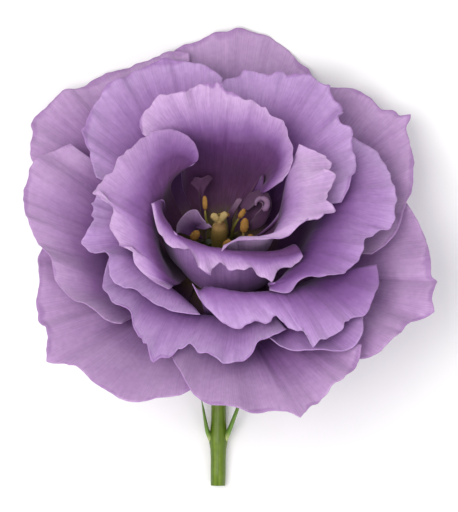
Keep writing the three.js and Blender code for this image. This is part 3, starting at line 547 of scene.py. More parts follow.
def tube_object(name, rings, sides, material, round_by=None):
    """A closed tube through rings of (centre, way, half width along x, half width across).

    round_by gives for (ring, turn) a factor on the radius, for grooves and ridges."""
    turns = 2 * np.pi * np.arange(sides) / sides
    rows = []
    for k, (centre, way, wide, deep) in enumerate(rings):
        way = np.asarray(way, dtype=float) / np.linalg.norm(way)
        across = np.array([1.0, 0, 0]) - way * way[0]
        across /= np.linalg.norm(across)
        square = np.cross(way, across)
        factor = np.ones(sides) if round_by is None else round_by(k / (len(rings) - 1), turns)
        rows.append(centre + np.outer(wide * factor * np.cos(turns), across)
                    + np.outer(deep * factor * np.sin(turns), square))
    rows = np.array(rows)
    count = len(rows)
    points = np.concatenate([rows[0].mean(0)[None], rows.reshape(-1, 3), rows[-1].mean(0)[None]])
    along_share = np.repeat(np.linspace(0, 1, count), sides)
    uvs = np.concatenate([
        [[0.5, 0]],
        np.stack([np.tile(np.arange(sides) / sides, count), along_share], axis=1),
        [[0.5, 1]],
    ])
    end = count * sides + 1
    faces = []
    for k in range(sides):
        n = (k + 1) % sides
        faces.append((0, 1 + n, 1 + k))
        faces.append((end, end - sides + k, end - sides + n))
        for m in range(count - 1):
            a = 1 + m * sides
            faces.append((a + k, a + n, a + sides + n, a + sides + k))
    return new_object(name, points, faces, material, uvs)


def rings_along(centres, wides, deeps=None, per_span=6):
    """Rings on a smooth curve through centres, with smoothly changing half widths."""
    deeps = wides if deeps is None else deeps
    shares = np.linspace(0, len(centres) - 1, per_span * (len(centres) - 1) + 1)
    path = curve(centres, shares)
    keys = np.arange(len(centres))
    ways = np.gradient(path, axis=0)
    return [(path[k], ways[k], np.interp(shares[k], keys, wides), np.interp(shares[k], keys, deeps))
            for k in range(len(path))]


# ---- petals ---------------------------------------------------------------------------------
RIM = 3                  # a rib's spans run from claw 0 over knee 1 and bend 2 to the rim
RIM_RUN = 60             # millimetres of rim to one unit of the rib map
TIP_HALF_WIDTH = 1.6     # millimetres of rim to either side of a pointed tip
BACK_TONE = 0.55         # how far the lower side of a petal turns to the rim's colour
FULL_ROOM = 8            # millimetres from bend to rim that a full frill needs
BEND_SHARE = 0.85        # how far a bend without its own points turns towards the rim's azimuth
FLAT_EDGE = 0.08         # least share of the frill that is left where there is no room
PAINTED_LIGHT_START = 0.25        # share of a petal's length from which its painted light and shade fades in, and the length of that fade
PAINTED_LIGHT_RUN = 0.35          # and the length of that fade
# Waves along the rim: their lengths and heights in millimetres
NOTCHES = (2.3, 3.9, 6.8), (0.12, 0.17, 0.26)
RUFFLES = (3.6, 5.9, 9.7), (0.26, 0.42, 0.5)
PLEATS = (1.5, 2.4, 4.3), (0.04, 0.06, 0.08)
ROLLS = (13.0, 24.0), (0.3, 0.35)


def petal_grid(petal, ribs_per_mm, stations, settings):
    """Middle surface of a petal as [rib][station], and its UVs."""
    rng = random.Random(f"{petal['name']} {settings.seed}")
    rim_points = [from_plan(p) for p in petal["rim"]]
    reach = np.linalg.norm(np.diff(rim_points, axis=0), axis=1).sum()
    v = np.linspace(0, 1, max(12, round(reach * ribs_per_mm)))
    rims = curve(rim_points, v * (len(rim_points) - 1))
    arc = np.concatenate([[0], np.cumsum(np.linalg.norm(np.diff(rims, axis=0), axis=1))])
    radius, height, spread = petal["claw"]
    claws = ring(petal["azimuth"] + (v - 0.5) * spread, radius, height)
    if "bend" in petal:
        bends = curve([from_plan(p) for p in petal["bend"]], v * (len(petal["bend"]) - 1))
    else:
        share, belly = petal["belly"]
        turn = turn_between(petal["azimuth"], np.degrees(np.arctan2(rims[:, 1], rims[:, 0])))
        bends = ring(petal["azimuth"] + BEND_SHARE * turn,
                     np.hypot(rims[:, 0], rims[:, 1]) * share, belly)
    turn = turn_between(petal["azimuth"], np.degrees(np.arctan2(bends[:, 1], bends[:, 0])))
    bulge = np.array(petal.get("bulge", [(0, 0, 0)]))
    places = np.linspace(0, 1, len(bulge))
    swell, rise, twist = (np.interp(v, places, column) for column in bulge.T)
    knees = ring(petal["azimuth"] + petal["fan"] * turn + twist, petal["knee"][0] + swell,
                 petal["knee"][1] + rise)
    t = RIM * (1 - (1 - np.linspace(0, 1, stations)) ** 1.25)
    grid = np.array([curve(rib, t) for rib in zip(claws, knees, bends, rims)])

    count, high, start = petal["wave"]
    grid[..., 2] += high * np.outer(np.sin(2 * np.pi * (count * v + start)), swelling(t, 1.6) ** 2)
    outward = grid[:, -1] - grid[:, -5]
    outward /= np.linalg.norm(outward, axis=1, keepdims=True)
    room = np.linalg.norm(rims - bends, axis=1)
    side = np.minimum(1, 10 * v * (1 - v) + 0.1) * np.clip(room / FULL_ROOM, FLAT_EDGE, 1)
    strengths = petal["frill"]
    shares = np.linspace(0, 1, len(strengths))
    size = settings.frill * np.interp(v, shares, strengths) * side
    notch = ripple(rng, *NOTCHES)(arc) * size
    seen = np.stack([rims[:, 0], rims[:, 1] * math.cos(LEAN) + rims[:, 2] * math.sin(LEAN)], axis=1)
    for x, y, long in petal.get("tips", ()):
        apart = np.abs(arc - arc[np.argmin(np.linalg.norm(seen - (x, y), axis=1))])
        notch = notch + long * np.clip(1 - apart / TIP_HALF_WIDTH, 0, 1) ** 1.4
    grid += (swelling(t, 2.0) ** 3)[None, :, None] * (notch[:, None] * outward)[:, None, :]

    ruffle = ripple(rng, *RUFFLES)(arc) * size
    pleat = ripple(rng, *PLEATS)(arc) * settings.pleats * side
    pleat *= 0.3 + 0.7 * np.minimum(1, size)
    roll = ripple(rng, *ROLLS)(arc) * side * settings.frill
    lift = (np.outer(ruffle, swelling(t, 2.15) ** 2) + np.outer(pleat, swelling(t, 0.5))
            + np.outer(roll, swelling(t, 1.2) ** 1.5))
    grid = to_table(grid)
    grid += normals_of(grid) * lift[..., None]
    grid[..., 2] = np.maximum(grid[..., 2], LOWEST)
    uvs = np.stack(np.broadcast_arrays((arc / RIM_RUN)[:, None], (t / RIM)[None, :]), axis=-1)
    return grid, uvs


# Rolled tip inside the right petaloid: (x, y from above, height along the axis) and radius
HOOD_CURL = [
    (7.9, 12.3, 20.8, 0.2), (8.1, 13.3, 21.2, 0.45), (9.0, 13.9, 21.6, 0.58),
    (10.1, 13.6, 21.7, 0.62), (10.5, 12.6, 21.6, 0.66), (10.1, 11.7, 21.3, 0.72),
    (9.5, 11.3, 21.0, 0.4),
]


def make_hood_curl(settings):
    centres = to_table([from_plan(row[:3]) for row in HOOD_CURL])
    radii = [row[3] for row in HOOD_CURL]
    rings = rings_along(centres, radii, [0.8 * radius for radius in radii])
    surface = flesh_material("petaloid_curl_surface", [
        (0.0, shifted(settings.petal_colour, (0.4, 0.36, 0.34))),
        (0.5, shifted(settings.petal_colour, (0.6, 0.56, 0.5))),
        (1.0, shifted(settings.petal_colour, (0.5, 0.46, 0.44)))], grain=1200.0)
    piece = tube_object("visual_petaloid_curl", rings, 20, surface)
    file_piece(piece, "petaloid_right")


def make_petal(petal, slot, settings, ribs_per_mm=2.0, stations=40):
    grid, uvs = petal_grid(petal, ribs_per_mm, stations, settings)
    foot, rim = settings.blade / MM, settings.rim_edge / MM
    thickness = foot + (rim - foot) * uvs[..., 1] ** 2
    # Painted light and shade: the tone list moves the colour ramp lighter or darker across the petal.
    tone = petal.get("tone", (0,))
    v = np.linspace(0, 1, len(grid))
    painted_light_shift = np.interp(v, np.linspace(0, 1, len(tone)), tone)[:, None]
    painted_light_shift = painted_light_shift * np.clip((uvs[..., 1] - PAINTED_LIGHT_START) / PAINTED_LIGHT_RUN, 0, 1)
    uvs[..., 1] = np.minimum(uvs[..., 1] + painted_light_shift, np.maximum(uvs[..., 1], 0.95))
    surface = petal_surface(petal.get("surface", slot), settings)
    piece = blade_object("visual_" + petal["name"], grid, thickness, surface, uvs,
                         petal.get("back", BACK_TONE))
    return file_piece(piece, petal["name"])


# ---- materials ------------------------------------------------------------------------------
def srgb(red, green, blue):
    """A colour given in 0 to 255 as the linear values a shader takes."""
    def line(c):
        c /= 255
        return c / 12.92 if c <= 0.04045 else ((c + 0.055) / 1.055) ** 2.4
    return (line(red), line(green), line(blue), 1.0)


def shifted(colour, gains):
    """A colour with its red, green and blue each multiplied by a gain."""
    return (*(min(1.0, c * gain) for c, gain in zip(colour, gains)), 1.0)


class Recipe:
    """A material's node tree, with short ways to add its nodes."""

    def __init__(self, name):
        self.material = bpy.data.materials.new(name)
        self.material.use_nodes = True
        self.tree = self.material.node_tree
        self.tree.nodes.clear()

    def add(self, kind, inputs=(), **settings):
        node = self.tree.nodes.new(kind)
        for key, value in settings.items():
            setattr(node, key, value)
        for socket, value in dict(inputs).items():
            if isinstance(value, bpy.types.NodeSocket):
                self.tree.links.new(value, node.inputs[socket])
            else:
                node.inputs[socket].default_value = value
        return node

    def ramp(self, factor, stops):
        node = self.add("ShaderNodeValToRGB", {"Fac": factor})
        elements = node.color_ramp.elements
        while len(elements) < len(stops):
            elements.new(0.5)
        for element, (place, colour) in zip(elements, stops):
            element.position = place
            element.color = colour
        return node.outputs["Color"]

    def mix(self, blend, factor, first, second):
        node = self.add("ShaderNodeMix", data_type="RGBA", blend_type=blend)
        for socket, value in ((0, factor), (6, first), (7, second)):
            if isinstance(value, bpy.types.NodeSocket):
                self.tree.links.new(value, node.inputs[socket])
            else:
                node.inputs[socket].default_value = value
        return node.outputs[2]

    def math(self, operation, first, second=0.0, third=0.0):
        return self.add("ShaderNodeMath", {0: first, 1: second, 2: third},
                        operation=operation).outputs[0]

    def close(self, **inputs):
        shader = self.add("ShaderNodeBsdfPrincipled",
                          {key.replace("_", " "): value for key, value in inputs.items()})
        self.add("ShaderNodeOutputMaterial", {"Surface": shader.outputs[0]})
        return self.material


def petal_material(name, places, foot, throat, deep, middle, body, edge, vein):
    """Petal tissue: dark foot, then a throat and deep part that are partly the petal's own dark colour
    and partly painted shade, soft body, pale rim that is partly its own paler margin and partly a
    painted highlight, fine veins running out along the ribs.
    """
    r = Recipe(name)
    uv = r.add("ShaderNodeUVMap", uv_map="ribs").outputs[0]
    split = r.add("ShaderNodeSeparateXYZ", {0: uv})
    u, v = split.outputs[0], split.outputs[1]
    place = r.add("ShaderNodeTexCoord").outputs["Object"]
    cloud = r.add("ShaderNodeTexNoise", {"Vector": place, "Scale": 130.0, "Detail": 3.0})
    drift = r.math("MULTIPLY_ADD", cloud.outputs["Fac"], 0.12, -0.06)
    # Darker from the body towards the foot: partly the petal's own dark eye, partly painted shade of
    # the cup and the gaps between petals. The pale band just inside the rim is partly the paler margin
    # and partly a painted highlight.
    shade = r.ramp(r.math("ADD", v, drift), [
        (0.1, foot), (0.24, throat), (places[0], deep), (places[1], middle), (places[2], body),
        (0.985, edge), (1.0, body)])
    wander = r.add("ShaderNodeTexNoise", {"Vector": place, "Scale": 300.0, "Detail": 2.0})
    bent = r.math("MULTIPLY_ADD", wander.outputs["Fac"], 0.012, u)
    spread = r.add("ShaderNodeCombineXYZ", {0: bent, 1: r.math("MULTIPLY", v, 0.045)})
    veins = r.add("ShaderNodeTexNoise",
                  {"Vector": spread.outputs[0], "Scale": 190.0, "Detail": 2.0, "Roughness": 0.5})
    thread = r.add("ShaderNodeMapRange", {"Value": veins.outputs["Fac"], "From Min": 0.34,
                                          "From Max": 0.6, "To Min": 1.0, "To Max": 0.0})
    strength = r.math("MULTIPLY", thread.outputs[0], r.math("MULTIPLY_ADD", v, -0.2, 0.4))
    coloured = r.mix("MIX", strength, shade, vein)
    mottle = r.add("ShaderNodeTexNoise", {"Vector": place, "Scale": 900.0, "Detail": 4.0})
    grain = r.ramp(mottle.outputs["Fac"], [(0.3, (0.88, 0.87, 0.9, 1)), (0.7, (1.0, 1.0, 1.0, 1))])
    colour = r.mix("MULTIPLY", 1.0, coloured, grain)
    height = r.math("ADD", r.math("MULTIPLY", veins.outputs["Fac"], 0.8),
                    r.math("MULTIPLY", mottle.outputs["Fac"], 0.4))
    bump = r.add("ShaderNodeBump", {"Height": height, "Strength": 0.3, "Distance": 0.0001})
    return r.close(Base_Color=colour, Roughness=0.6, Normal=bump.outputs[0],
                   Subsurface_Weight=0.2, Subsurface_Scale=0.0006,
                   Subsurface_Radius=(1.0, 0.5, 1.0), Sheen_Weight=0.08, Sheen_Roughness=0.5,
                   Specular_IOR_Level=0.25)


def flesh_material(name, stops, roughness=0.6, grain=900.0, bump=0.4, ribs=0.0):
    """Solid plant tissue whose colour runs along the piece from foot to tip."""
    r = Recipe(name)
    uv = r.add("ShaderNodeUVMap", uv_map="ribs").outputs[0]
    split = r.add("ShaderNodeSeparateXYZ", {0: uv})
    place = r.add("ShaderNodeTexCoord").outputs["Object"]
    noise = r.add("ShaderNodeTexNoise", {"Vector": place, "Scale": grain, "Detail": 4.0})
    shade = r.ramp(split.outputs[1], stops)
    if ribs:
        along = r.add("ShaderNodeCombineXYZ", {0: split.outputs[0], 1: r.math(
            "MULTIPLY", split.outputs[1], 0.12)})
        streak = r.add("ShaderNodeTexNoise", {"Vector": along.outputs[0], "Scale": 1.2 * ribs,
                                              "Detail": 2.0})
        pale = r.ramp(streak.outputs["Fac"],
                      [(0.42, (0.0, 0.0, 0.0, 1)), (0.66, (0.5, 0.5, 0.5, 1))])
        light = r.mix("MULTIPLY", 1.0, shade, (2.4, 2.1, 2.6, 1))
        shade = r.mix("MIX", pale, shade, light)
    speck = r.ramp(noise.outputs["Fac"], [(0.3, (0.72, 0.74, 0.68, 1)), (0.7, (1.0, 1.0, 1.0, 1))])
    colour = r.mix("MULTIPLY", 0.8, shade, speck)
    height = noise.outputs["Fac"]
    if ribs:
        wave = r.math("SINE", r.math("MULTIPLY", split.outputs[0], 2 * math.pi * ribs))
        height = r.math("ADD", height, r.math("MULTIPLY", wave, 0.35))
    relief = r.add("ShaderNodeBump", {"Height": height, "Strength": bump, "Distance": 0.0002})
    return r.close(Base_Color=colour, Roughness=roughness, Normal=relief.outputs[0],
                   Subsurface_Weight=0.12, Subsurface_Scale=0.0008, Specular_IOR_Level=0.35)


# How far out along a petal the deep, middle and body colours stand in each layer
SPREAD = {
    "outer_petal": (0.58, 0.74, 0.88), "middle_petal": (0.58, 0.74, 0.88),
    # The inner layer's dark zone reaches further out and ends more sharply: partly the petals' own dark
    # eye, partly painted shade inside the cup.
    "inner_petal": (0.65, 0.73, 0.82), "petaloid": (0.58, 0.74, 0.88),
}
# Each layer's petals against the chosen petal colours: foot, throat, deep, middle, body, edge, vein
LAYERS = {
    "outer_petal": ((1.0, 1.0, 1.2), (1.0, 1.1, 1.0), (1.05, 1.1, 1.0), (1.06, 1.12, 1.0),
                    (1.0, 1.05, 0.95), (0.96, 0.96, 0.91), (1.04, 1.08, 0.98)),
    "middle_petal": ((1.0, 0.8, 1.5), (1.0, 0.9, 1.3), (0.92, 0.86, 0.96), (1.0, 0.98, 1.02),
                     (1.0, 1.0, 1.02), (0.96, 0.95, 0.99), (1.0, 0.96, 1.02)),
    # inner_petal: the darker deep gains are partly the petals' own dark eye and partly painted shade
    # inside the cup; the brighter edge gain is partly the paler margin and partly a painted highlight
    # on the lips.
    "inner_petal": ((1.0, 1.0, 0.8), (1.0, 0.9, 0.9), (0.82, 0.7, 0.76), (0.9, 0.86, 0.92),
                    (0.98, 0.97, 0.98), (1.12, 1.14, 1.06), (0.86, 0.82, 0.88)),
    # petaloid: much darker than the petals, partly their own colour and partly painted shade deep in
    # the throat.
    "petaloid": ((1.0, 1.0, 0.8), (0.7, 0.7, 0.5), (0.85, 0.85, 0.55), (0.46, 0.42, 0.34),
                 (0.3, 0.24, 0.23), (0.5, 0.44, 0.4), (0.4, 0.4, 0.34)),
}


def petal_surface(layer, settings):
    """The layer's petal material, made on first use."""
    name = f"{layer}_surface"
    if name not in bpy.data.materials:
        tones = (settings.foot_colour, settings.throat_colour, settings.deep_colour,
                 settings.middle_colour, settings.petal_colour, settings.edge_colour,
                 settings.vein_colour)
        petal_material(name, SPREAD[layer],
                       *(shifted(tone, gain) for tone, gain in zip(tones, LAYERS[layer])))
    return bpy.data.materials[name]


# ---- the parts in the throat -----------------------------------------------------------------
# Ovary and style: height along the axis, half width along x and across it
OVARY = [
    (4.3, 1.1, 1.1), (5.4, 1.55, 1.5), (8.0, 1.8, 1.75), (11.5, 1.85, 1.75), (14.2, 1.75, 1.65),
    (15.6, 1.45, 1.4), (16.4, 0.95, 0.95), (17.0, 0.75, 0.7), (17.8, 0.7, 0.6), (18.3, 0.4, 0.4),
]
# Stigma lobes: [x, s, height] from the style to the lobe's tip, half widths along and across
LOBES = [
    [(0.0, -0.1, 17.4), (-0.7, 0.25, 18.5), (-1.25, 0.75, 19.0), (-1.5, 1.2, 19.1)],
    [(0.0, -0.1, 17.4), (0.65, 0.35, 18.6), (1.1, 0.95, 19.2), (1.25, 1.5, 19.3)],
]
LOBE_WIDE = [0.5, 0.75, 0.82, 0.35]
LOBE_DEEP = [0.4, 0.5, 0.45, 0.2]

# Stamens: azimuth of the foot, anther's foot and tip as (x, y, height), girth
STAMENS = [
    (121, (-3.1, 11.4, 15.4), (-3.2, 14.5, 17.4), 0.55),
    (75, (0.4, 10.4, 15.2), (2, 10.3, 17.4), 0.75),
    (32, (4.3, 9.6, 14.8), (5.6, 11.6, 16.6), 0.6),
    (0, (5.3, 6.4, 13.4), (5.7, 9.6, 16), 0.9),
    (192, (-6, 4.8, 12), (-4.6, 6.8, 14), 0.95),
    (290, (1, 3.2, 12.6), (2.4, 4.8, 14.6), 0.8),
    (336, (6, 4.4, 12), (7.2, 6, 13.6), 0.7),
]


def make_pistil(settings):
    ovary = flesh_material("ovary_surface", [
        (0.0, shifted(settings.ovary_colour, (0.5, 0.75, 0.35))),
        (0.4, shifted(settings.ovary_colour, (0.75, 0.85, 0.6))), (0.6, settings.ovary_colour),
        (0.85, shifted(settings.ovary_colour, (1.3, 1.25, 1.5))),
        (1.0, settings.stigma_colour)], grain=1500.0)
    keys = curve(OVARY, np.linspace(0, len(OVARY) - 1, 5 * (len(OVARY) - 1) + 1))
    rings = [(to_table([0, 0, h]), AXIS, wide, deep) for h, wide, deep in keys]

    def furrow(_, turns):
        return 1 - 0.05 * np.cos(2 * turns) ** 8
    file_piece(tube_object("visual_ovary", rings, 40, ovary, furrow), "pistil")
    stigma = flesh_material("stigma_surface", [
        (0.0, shifted(settings.stigma_colour, (0.7, 0.7, 0.6))),
        (0.4, settings.stigma_colour), (1.0, shifted(settings.stigma_colour, (1.1, 1.1, 1.2)))],
        grain=3200.0, bump=0.8)
    for name, lobe in zip(("left", "right"), LOBES):
        rings = rings_along(to_table(lobe), LOBE_WIDE, LOBE_DEEP, 8)
        piece = tube_object(f"visual_stigma_{name}", rings, 24, stigma)
        file_piece(piece, "pistil")


def stamen_rings(azimuth, foot, tip, girth):
    """Rings of a filament that ends in an anther."""
    low, high = from_plan(foot), from_plan(tip)
    neck = low + 0.8 * (low - high) / np.linalg.norm(low - high)
    base, shoulder = ring(azimuth, 2.3, 4.35), ring(azimuth, 3.0, 8)
    filament = rings_along(to_table([base, shoulder, neck, low]), [0.42, 0.32, 0.26, 0.22])
    length = np.linalg.norm(high - low)
    way = to_table(high) - to_table(low)
    anther = []
    for share in np.linspace(0.02, 0.99, 16):
        girth_here = girth * (1 - abs(2 * share - 1) ** 3.2) ** 0.6
        lie = share - 0.1 * math.sin(math.pi * share) / length
        anther.append((to_table(low + (high - low) * lie), way, max(girth_here, 0.12),
                       max(0.72 * girth_here, 0.12)))
    return filament[:-1], anther


def growth_tree(name, **inputs):
    """A geometry node tree with named inputs, and its input node."""
    tree = bpy.data.node_groups.new(name, "GeometryNodeTree")
    sockets = tree.interface
    sockets.new_socket("Geometry", in_out="INPUT", socket_type="NodeSocketGeometry")
    for label, kind in inputs.items():
        sockets.new_socket(label, in_out="INPUT", socket_type=f"NodeSocket{kind}")
    sockets.new_socket("Geometry", in_out="OUTPUT", socket_type="NodeSocketGeometry")
    return tree, tree.nodes.new("NodeGroupInput")


def close_tree(tree, copies, material):
    """Turns the copies into plain mesh with the material, as the tree's result."""
    make, link = tree.nodes.new, tree.links.new
    real = make("GeometryNodeRealizeInstances")
    link(copies, real.inputs[0])
    finish = make("GeometryNodeSetMaterial")
    finish.inputs["Material"].default_value = material
    link(real.outputs[0], finish.inputs["Geometry"])
    link(finish.outputs[0], make("NodeGroupOutput").inputs[0])
    return tree


def pollen_tree(material):
    """Grains scattered on a surface: density in grains a square metre, size in metres."""
    tree, start = growth_tree("pollen_grains", Density="Float", Grain="Float", Seed="Int")
    make, link = tree.nodes.new, tree.links.new
    scatter = make("GeometryNodeDistributePointsOnFaces")
    link(start.outputs["Geometry"], scatter.inputs["Mesh"])
    link(start.outputs["Density"], scatter.inputs["Density"])
    link(start.outputs["Seed"], scatter.inputs["Seed"])
    grain = make("GeometryNodeMeshIcoSphere")
    grain.inputs["Subdivisions"].default_value = 1
    link(start.outputs["Grain"], grain.inputs["Radius"])
    sizes = make("FunctionNodeRandomValue")
    sizes.inputs[2].default_value = 0.6
    sizes.inputs[3].default_value = 1.3
    link(start.outputs["Seed"], sizes.inputs["Seed"])
    place = make("GeometryNodeInstanceOnPoints")
    link(scatter.outputs["Points"], place.inputs["Points"])
    link(grain.outputs["Mesh"], place.inputs["Instance"])
    link(sizes.outputs[1], place.inputs["Scale"])
    return close_tree(tree, place.outputs[0], material)


def grown(obj, tree, inputs):
    """Runs a node tree on an object, keeps the mesh it makes and takes the tree off again."""
    modifier = obj.modifiers.new("growth", "NODES")
    modifier.node_group = tree
    for item in tree.interface.items_tree:
        if item.in_out == "INPUT" and item.name in inputs:
            modifier[item.identifier] = inputs[item.name]
    view_layer = bpy.context.evaluated_depsgraph_get()
    mesh = bpy.data.meshes.new_from_object(obj.evaluated_get(view_layer))
    obj.modifiers.clear()
    obj.data = mesh
    mesh.polygons.foreach_set("use_smooth", [True] * len(mesh.polygons))
    return obj


def make_stamens(settings):
    filament = flesh_material("filament_surface", [
        (0.0, srgb(80, 86, 30)), (0.7, srgb(128, 120, 56)), (1.0, srgb(150, 128, 64))])
    anther = flesh_material("anther_surface", [
        (0.0, shifted(settings.anther_colour, (0.7, 0.6, 0.5))),
        (0.5, settings.anther_colour), (1.0, shifted(settings.anther_colour, (0.9, 0.85, 0.8)))],
        roughness=0.8, grain=2600.0, bump=0.9)
    grains = pollen_tree(flesh_material("pollen_surface", [
        (0.0, shifted(settings.anther_colour, (1.35, 1.45, 1.8))),
        (1.0, shifted(settings.anther_colour, (1.35, 1.45, 1.8)))], roughness=0.85, grain=4000.0))

    def seam(_, turns):
        return 1 - 0.22 * np.exp(-((np.sin((turns - 0.5 * np.pi) / 2)) / 0.16) ** 2)
    for number, row in enumerate(STAMENS, 1):
        stalk, pod = stamen_rings(*row)
        node = f"stamen_{number}"
        file_piece(tube_object(f"visual_filament_{number}", stalk, 12, filament), node)
        body = tube_object(f"visual_anther_{number}", pod, 28, anther, seam)
        dust = body.copy()
        dust.data = body.data.copy()
        dust.name = f"visual_pollen_{number}"
        bpy.context.scene.collection.objects.link(dust)
        grown(dust, grains, {"Density": settings.pollen * 1e6, "Grain": 0.09 * MM,
                             "Seed": settings.seed + number})
        file_piece(body, node)
        file_piece(dust, node)


# ---- stem, receptacle, sepals and bracts ---------------------------------------------------
# Receptacle: height along the axis, radius
RECEPTACLE = [
    (4.0, 2.9), (1.9, 4.2), (0.75, 5.1), (-0.35, 6.4), (-1.4, 7.4), (-2.3, 6.6), (-3.4, 4.6),
    (-4.8, 3.0), (-6.5, 2.2),
]
# Stalk from the neck's end to the cut: share of the way, radius
STALK = [
    (0.15, 1.66), (0.3, 1.62), (0.5, 1.6), (0.64, 1.64), (0.7, 1.8), (0.735, 2.05), (0.765, 2.0),
    (0.8, 1.75), (0.85, 1.66), (0.93, 1.65), (1.0, 1.64),
]
# Sepal: distance from the axis, height along it, width
SEPAL = [(6.0, -1.75, 2.6), (9, -1.5, 2.4), (13, -0.9, 2.0), (18, 0.3, 1.4), (23, 1.9, 0.5)]
SEPALS = 5
FIRST_SEPAL = math.radians(54)   # azimuth of the first
SEPAL_THICK = 0.45
SEPAL_ROWS, SEPAL_STATIONS = 9, 33
# Bracts: (x, y from the seat, z above the table), half width seen from above and half depth
BRACTS = {
    "left": [
        (-1.1, -40.6, 1.7, 0.7, 1.0), (-1.7, -39.0, 2.0, 0.75, 1.2), (-2.55, -37.4, 2.7, 0.5, 1.3),
        (-3.1, -34.9, 3.5, 0.36, 1.1), (-3.5, -32.6, 4.2, 0.26, 0.8), (-3.9, -30.4, 4.9, 0.08, 0.2),
    ],
    "right": [
        (0.6, -40.4, 1.7, 0.7, 1.0), (1.2, -38.9, 2.1, 0.75, 1.2), (2.1, -37.1, 2.9, 0.5, 1.3),
        (3.2, -34.3, 3.9, 0.42, 1.1), (4.4, -31.1, 5.1, 0.34, 0.8), (5.4, -28.3, 6.0, 0.1, 0.25),
    ],
}


def stem_rings():
    rings = [(to_table([0, 0, h]), -AXIS, radius, radius) for h, radius in RECEPTACLE]
    top = to_table([0, 0, RECEPTACLE[-1][0]])
    aside = np.array([0, -math.cos(LEAN), math.sin(LEAN)])
    steps = 8
    for k in range(1, steps + 1):
        turn = NECK_TURN * k / steps
        centre = top - AXIS * NECK_BEND * math.sin(turn) + aside * NECK_BEND * (1 - math.cos(turn))
        way = -AXIS * math.cos(turn) + aside * math.sin(turn)
        radius = 2.2 - 0.5 * k / steps
        rings.append((centre, way, radius, radius))
    bent = rings[-1][0]
    for share, radius in STALK:
        rings.append((bent + (CUT_END - bent) * share, CUT_END - bent, radius, radius))
    return rings


def make_stem(settings):
    green = flesh_material("stem_surface", [
        (0.0, shifted(settings.stem_colour, (0.3, 0.26, 0.12))),
        (0.12, shifted(settings.stem_colour, (0.3, 0.26, 0.12))),
        (0.3, shifted(settings.stem_colour, (0.8, 0.8, 0.7))), (1.0, settings.stem_colour)],
        roughness=0.38, grain=700.0, bump=0.25, ribs=9)

    def ridges(share, turns):
        return 1 + 0.012 * np.cos(5 * turns) - (0.02 if share > 0.999 else 0)
    piece = tube_object("visual_stem", stem_rings(), 40, green, ridges)
    file_piece(piece, "stem")
    for side, rows in BRACTS.items():
        centres = [SEAT * (1, 1, 0) + row[:3] for row in rows]
        rings = rings_along(centres, [row[3] for row in rows], [row[4] for row in rows])
        leaf = flesh_material(f"bract_{side}_surface", [
            (0.0, srgb(150, 172, 96)), (0.25, srgb(184, 194, 128)), (0.4, srgb(112, 150, 62)),
            (1.0, srgb(96, 126, 60))], grain=1200.0, bump=0.3)
        file_piece(tube_object(f"visual_bract_{side}", rings, 20, leaf), "stem")


def sepal_tree(material):
    """Copies of one sepal set evenly round the axis, then laid back with the bloom."""
    tree, start = growth_tree("sepal_ring", Count="Int", Start="Float")
    make, link = tree.nodes.new, tree.links.new
    row = make("GeometryNodeMeshLine")
    row.inputs["Offset"].default_value = (0, 0, 0)
    link(start.outputs["Count"], row.inputs["Count"])
    index = make("GeometryNodeInputIndex")
    share = make("ShaderNodeMath")
    share.operation = "DIVIDE"
    link(index.outputs[0], share.inputs[0])
    link(start.outputs["Count"], share.inputs[1])
    turn = make("ShaderNodeMath")
    turn.operation = "MULTIPLY_ADD"
    turn.inputs[1].default_value = 2 * math.pi
    link(share.outputs[0], turn.inputs[0])
    link(start.outputs["Start"], turn.inputs[2])
    spin = make("ShaderNodeCombineXYZ")
    link(turn.outputs[0], spin.inputs["Z"])
    place = make("GeometryNodeInstanceOnPoints")
    link(row.outputs["Mesh"], place.inputs["Points"])
    link(start.outputs["Geometry"], place.inputs["Instance"])
    link(spin.outputs[0], place.inputs["Rotation"])
    lay = make("GeometryNodeTransform")
    lay.inputs["Translation"].default_value = SEAT * MM
    lay.inputs["Rotation"].default_value = (-LEAN, 0, 0)
    link(place.outputs[0], lay.inputs["Geometry"])
    return close_tree(tree, lay.outputs[0], material)


def make_sepals():
    material = flesh_material("sepal_surface", [
        (0.0, srgb(120, 150, 70)), (0.6, srgb(104, 138, 58)), (1.0, srgb(128, 132, 78))],
        grain=1200.0, bump=0.3)
    shares = np.linspace(0, len(SEPAL) - 1, SEPAL_STATIONS)
    line = curve(SEPAL, shares)
    sides = np.linspace(-0.5, 0.5, SEPAL_ROWS)
    grid = np.zeros((SEPAL_ROWS, SEPAL_STATIONS, 3))
    grid[..., 0] = line[:, 0]
    grid[..., 1] = -np.outer(sides, np.maximum(line[:, 2], 0.2))
    grid[..., 2] = line[:, 1] + np.outer(sides**2, line[:, 2]) * 0.9
    uvs = np.stack(np.broadcast_arrays(sides[:, None] + 0.5, (shares / 4)[None, :]), axis=-1)
    sepal = blade_object("visual_sepals", grid[::-1], SEPAL_THICK, material, uvs)
    grown(sepal, sepal_tree(material), {"Count": SEPALS, "Start": FIRST_SEPAL})
    file_piece(sepal, "stem")


# ---- stage --------------------------------------------------------------------------------
VIEW_CENTRE = (-0.0001, 0.0002, 0.0)     # metres: the middle of the view on the table
VIEW_HEIGHT = 0.11264                    # length of table that the view's long side covers
CAMERA_HEIGHT = 4.0
SENSOR = 36.0                            # width of the camera's sensor in millimetres
FLOOR_HALF = 900                         # millimetres from the floor's middle to its sides
FILL_SHARE = 0.3                         # power of the fill light against the key light


def area_light(name, place, size, power, colour):
    data = bpy.data.lights.new(name, "AREA")
    data.shape = "SQUARE"
    data.size = size
    data.energy = power
    data.color = colour
    light = bpy.data.objects.new(name, data)
    light.location = place
    aim = mathutils.Vector(VIEW_CENTRE) - light.location
    light.rotation_mode = "QUATERNION"
    light.rotation_quaternion = aim.to_track_quat("-Z", "Y")
    bpy.context.scene.collection.objects.link(light)


